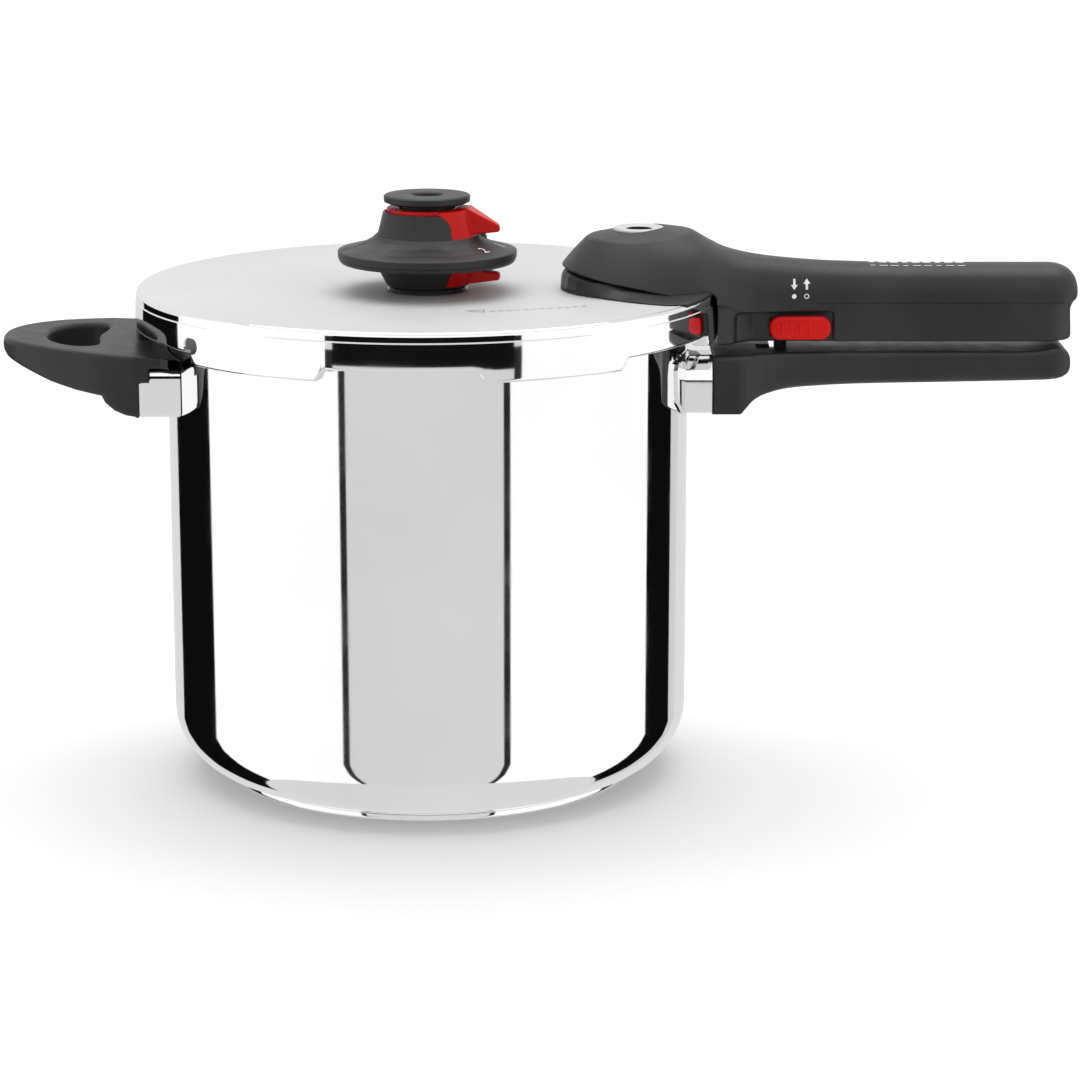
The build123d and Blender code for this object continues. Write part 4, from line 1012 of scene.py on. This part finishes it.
def bar(x, y, length, width, turn=0.0):
    """Rectangle centred on a point, its length turned by an angle in degrees."""
    along = complex(cos(radians(turn)), sin(radians(turn)))
    corners = [complex(a, b) * along for a, b in
               ((-length / 2, -width / 2), (length / 2, -width / 2), (length / 2, width / 2),
                (-length / 2, width / 2))]
    return [(x + corner.real, y + corner.imag) for corner in corners]


def outline_bars(corners, width, closed=True):
    """Strokes along an outline."""
    pairs = list(zip(corners, corners[1:] + corners[:1])) if closed else list(zip(corners, corners[1:]))
    strokes = []
    for (a, b), (c, d) in pairs:
        length = hypot(c - a, d - b) + width * 0.5
        strokes.append(bar((a + c) / 2, (b + d) / 2, length, width, degrees(atan2(d - b, c - a))))
    return strokes


def on_grip_side(points):
    flat = np.column_stack([points[:, 0], np.zeros(len(points)), points[:, 1]])
    return settle(upper_field, flat, 1, -40.0, -5.0)


def on_top(field):
    def place(points):
        flat = np.column_stack([points[:, 0], points[:, 1], np.zeros(len(points))])
        return settle(field, flat, 2, 240.0, 200.0)
    return place


def on_lid(points):
    around = np.hypot(points[:, 0], points[:, 1])
    height = LID_CENTRE_Z + np.maximum(around - LID_FLAT_RADIUS, 0.0) * LID_SLOPE + INK_LIFT
    return np.column_stack([points[:, 0], points[:, 1], height])


def arrow(x, z, up):
    """Solid arrow with its shaft and head as two shapes."""
    way = 1.0 if up else -1.0
    head = [(x - 1.5, z + 0.2 * way), (x + 1.5, z + 0.2 * way), (x, z + 2.3 * way)]
    return [bar(x, z - 1.0 * way, 1.0, 2.4), head]


def disc(x, z, radius):
    return [(x + radius * cos(2 * pi * step / 16),
             z + radius * sin(2 * pi * step / 16)) for step in range(16)]


mark("turn_arrows", arrow(155.2, 213.6, False) + arrow(160.5, 213.6, True), on_grip_side, WHITE_INK, "lid")
mark("turn_dots", [disc(155.2, 208.6, 1.0)] + outline_bars(disc(160.5, 208.6, 0.95)[::2], 0.35), on_grip_side,
     WHITE_INK, "lid")
mark("grip_mark", [bar(189.0 + 4.7 * step, -2.0, 3.4 if step % 3 else 2.2, 8.0) for step in range(9)],
     on_top(upper_field), WHITE_INK, "lid")
mark("lid_arrow", outline_bars([(17.6, -59.6), (24.7, -56.4), (25.0, -63.6)], 0.6), on_lid, GREY_INK, "lid")
mark("lid_dashes", [bar(28.5 + 3.4 * step, -61.4 + 0.86 * step, 2.3, 0.7, 14.0) for step in range(12)],
     on_lid,
     GREY_INK, "lid")
mark("brim_arrow", outline_bars([(79.2, -33.6), (82.4, -39.8), (80.9, -40.9), (87.8, -48.4), (88.2, -37.6),
                                 (86.2, -38.2), (83.6, -31.2)], 0.55), on_top(base_field), WHITE_INK, "lid")


def nose_ticks():
    ticks = []
    for start in (-165.0, -62.0):
        for step in range(11):
            turn = radians(start + 4.2 * step)
            ticks.append(bar(NOSE_X + 15.6 * cos(turn), 15.6 * sin(turn), 1.5 if step % 3 else 2.1, 0.45,
                             degrees(turn)))
    return ticks


mark("nose_ticks", nose_ticks(), on_top(upper_field), WHITE_INK, "lid")


def dial_number(digit, angle, radius, height):
    """A digit on the dial's top, its foot towards the rim."""
    curve = bpy.data.curves.new(f"digit_{digit}", "FONT")
    curve.body = digit
    curve.size = height / 0.7
    curve.align_x = "CENTER"
    text = bpy.data.objects.new("digit_source", curve)
    bpy.context.scene.collection.objects.link(text)
    mesh = text.to_mesh()
    vertices = []
    for vertex in mesh.vertices:
        around = radius + height / 2 - vertex.co.y
        turn = radians(angle) + vertex.co.x / radius
        z = 226.2 + (38.1 - around) * DIAL_SLOPE + INK_LIFT + 0.1
        vertices.append((around * cos(turn), around * sin(turn), z))
    faces = [tuple(face.vertices) for face in mesh.polygons]
    bpy.data.objects.remove(text)
    return add_piece(f"dial_number_{digit}", vertices, faces, WHITE_INK, "dial")


DIAL_SLOPE = (229.9 - 226.2) / (38.1 - 26.0)
dial_number("1", POINTER_ANGLE, 31.0, 4.6)
dial_number("2", POINTER_ANGLE - 31.0, 30.6, 4.6)

# ---------------------------------------------------------------- camera, light and floor
CAMERA_PLACE = (0.0479, -1.5, 0.453)
CAMERA_PITCH = 13.27
LENS = 118.52
SUN_STRENGTH = 1.75
SUN_WIDTH = 60
WORLD_STRENGTH = 0.72
scene = bpy.context.scene
camera = bpy.data.objects.new("camera", bpy.data.cameras.new("camera"))
scene.collection.objects.link(camera)
camera.location = CAMERA_PLACE
camera.rotation_euler = (radians(90 - CAMERA_PITCH), 0, 0)
camera.data.sensor_width = 36.0
camera.data.lens = LENS
camera.data.clip_end = 50.0
scene.camera = camera
scene.view_settings.view_transform = "Standard"


def stage_mesh(name, vertices, faces, material):
    mesh = bpy.data.meshes.new(name)
    mesh.from_pydata(vertices, [], faces)
    mesh.materials.append(material)
    card = bpy.data.objects.new(name, mesh)
    scene.collection.objects.link(card)
    return card


def glow(name, value):
    material = bpy.data.materials.new(name)
    material.use_nodes = True
    nodes = material.node_tree.nodes
    nodes.remove(nodes["Principled BSDF"])
    light = nodes.new("ShaderNodeEmission")
    light.inputs["Color"].default_value = (value, value, value, 1)
    material.node_tree.links.new(light.outputs[0], nodes["Material Output"].inputs["Surface"])
    return material


floor_paint = new_material("floor_paint", Base_Color=(0.9, 0.9, 0.9, 1), Roughness=0.9)
floor = stage_mesh("floor", [(-6, -6, 0), (6, -6, 0), (6, 8, 0), (-6, 8, 0)], [(0, 1, 2, 3)], floor_paint)
floor.visible_glossy = False

TENT_RADIUS = 2.5
GROUND_Z = -2.9
# Cards that only the shiny surfaces see: angle from and to (0 is towards the camera, positive to the right),
# height from and to in metres, and brightness.
TENT = [
    (-34, 34, -3.0, -0.17, 0.71),
    (-37, -34, -3.0, 0.1, 0.02),
    (34, 37, -3.0, 0.1, 0.02),
    (-34, 34, -0.17, 0.45, 0.006),
    (-109, -37, -3.0, 3.0, 1.12),
    (37, 113, -3.0, 3.0, 1.12),
    (-144, -109, -3.0, 0.1, 0.004),
    (113, 136, -3.0, 0.1, 0.004),
    (-224, -144, -3.0, 0.1, 0.75),
    (136, 144, -3.0, 0.1, 0.66),
    (-144, -109, 0.1, 3.0, 0.85),
    (113, 136, 0.1, 3.0, 0.85),
    (136, 216, 0.1, 3.0, 0.85),
    (-37, 37, 0.45, 3.0, 1.12),
]


def tent_card(number, start, end, low, high, value):
    steps = max(1, ceil((end - start) / 4))
    vertices = []
    for step in range(steps + 1):
        angle = radians(start + (end - start) * step / steps)
        x, y = TENT_RADIUS * sin(angle), -TENT_RADIUS * cos(angle)
        vertices += [(x, y, low), (x, y, high)]
    faces = [(2 * step, 2 * step + 2, 2 * step + 3, 2 * step + 1) for step in range(steps)]
    card = stage_mesh(f"tent_{number}", vertices, faces, glow(f"tent_{number}", value))
    card.visible_camera = False
    card.visible_diffuse = False
    card.visible_shadow = False


for number, card in enumerate(TENT):
    tent_card(number, *card)

ground_steps = 48
ground = [(TENT_RADIUS * sin(2 * pi * step / ground_steps),
           TENT_RADIUS * cos(2 * pi * step / ground_steps), GROUND_Z)
          for step in range(ground_steps)]
pit = stage_mesh("tent_ground", ground, [tuple(range(ground_steps))], glow("tent_ground", 0.74))
pit.visible_camera = False
pit.visible_diffuse = False
pit.visible_shadow = False

overhead = bpy.data.objects.new("overhead", bpy.data.lights.new("overhead", "SUN"))
scene.collection.objects.link(overhead)
overhead.data.energy = SUN_STRENGTH
overhead.data.angle = radians(SUN_WIDTH)
overhead.rotation_euler = Vector((0.0, -0.25, -1.0)).to_track_quat("-Z", "Y").to_euler()

world = bpy.data.worlds.new("world")
scene.world = world
world.use_nodes = True
world.node_tree.nodes["Background"].inputs["Color"].default_value = (1, 1, 1, 1)
world.node_tree.nodes["Background"].inputs["Strength"].default_value = WORLD_STRENGTH

# ---------------------------------------------------------------- CAD pieces that show as they are
slots = {part["node"]: part["material_slot"] for part in frame["record"]["subparts"]}
for node, piece in frame["nodes"].items():
    piece.data.materials.clear()
    # The lock's bolt takes the near-black steel, painted shade for the recess it shows through; the other CAD
    # pieces take their slots' materials.
    piece.data.materials.append(PAINTED_SHADE_STEEL if node == "lock_bolt" else SLOT_MATERIALS[slots[node]])
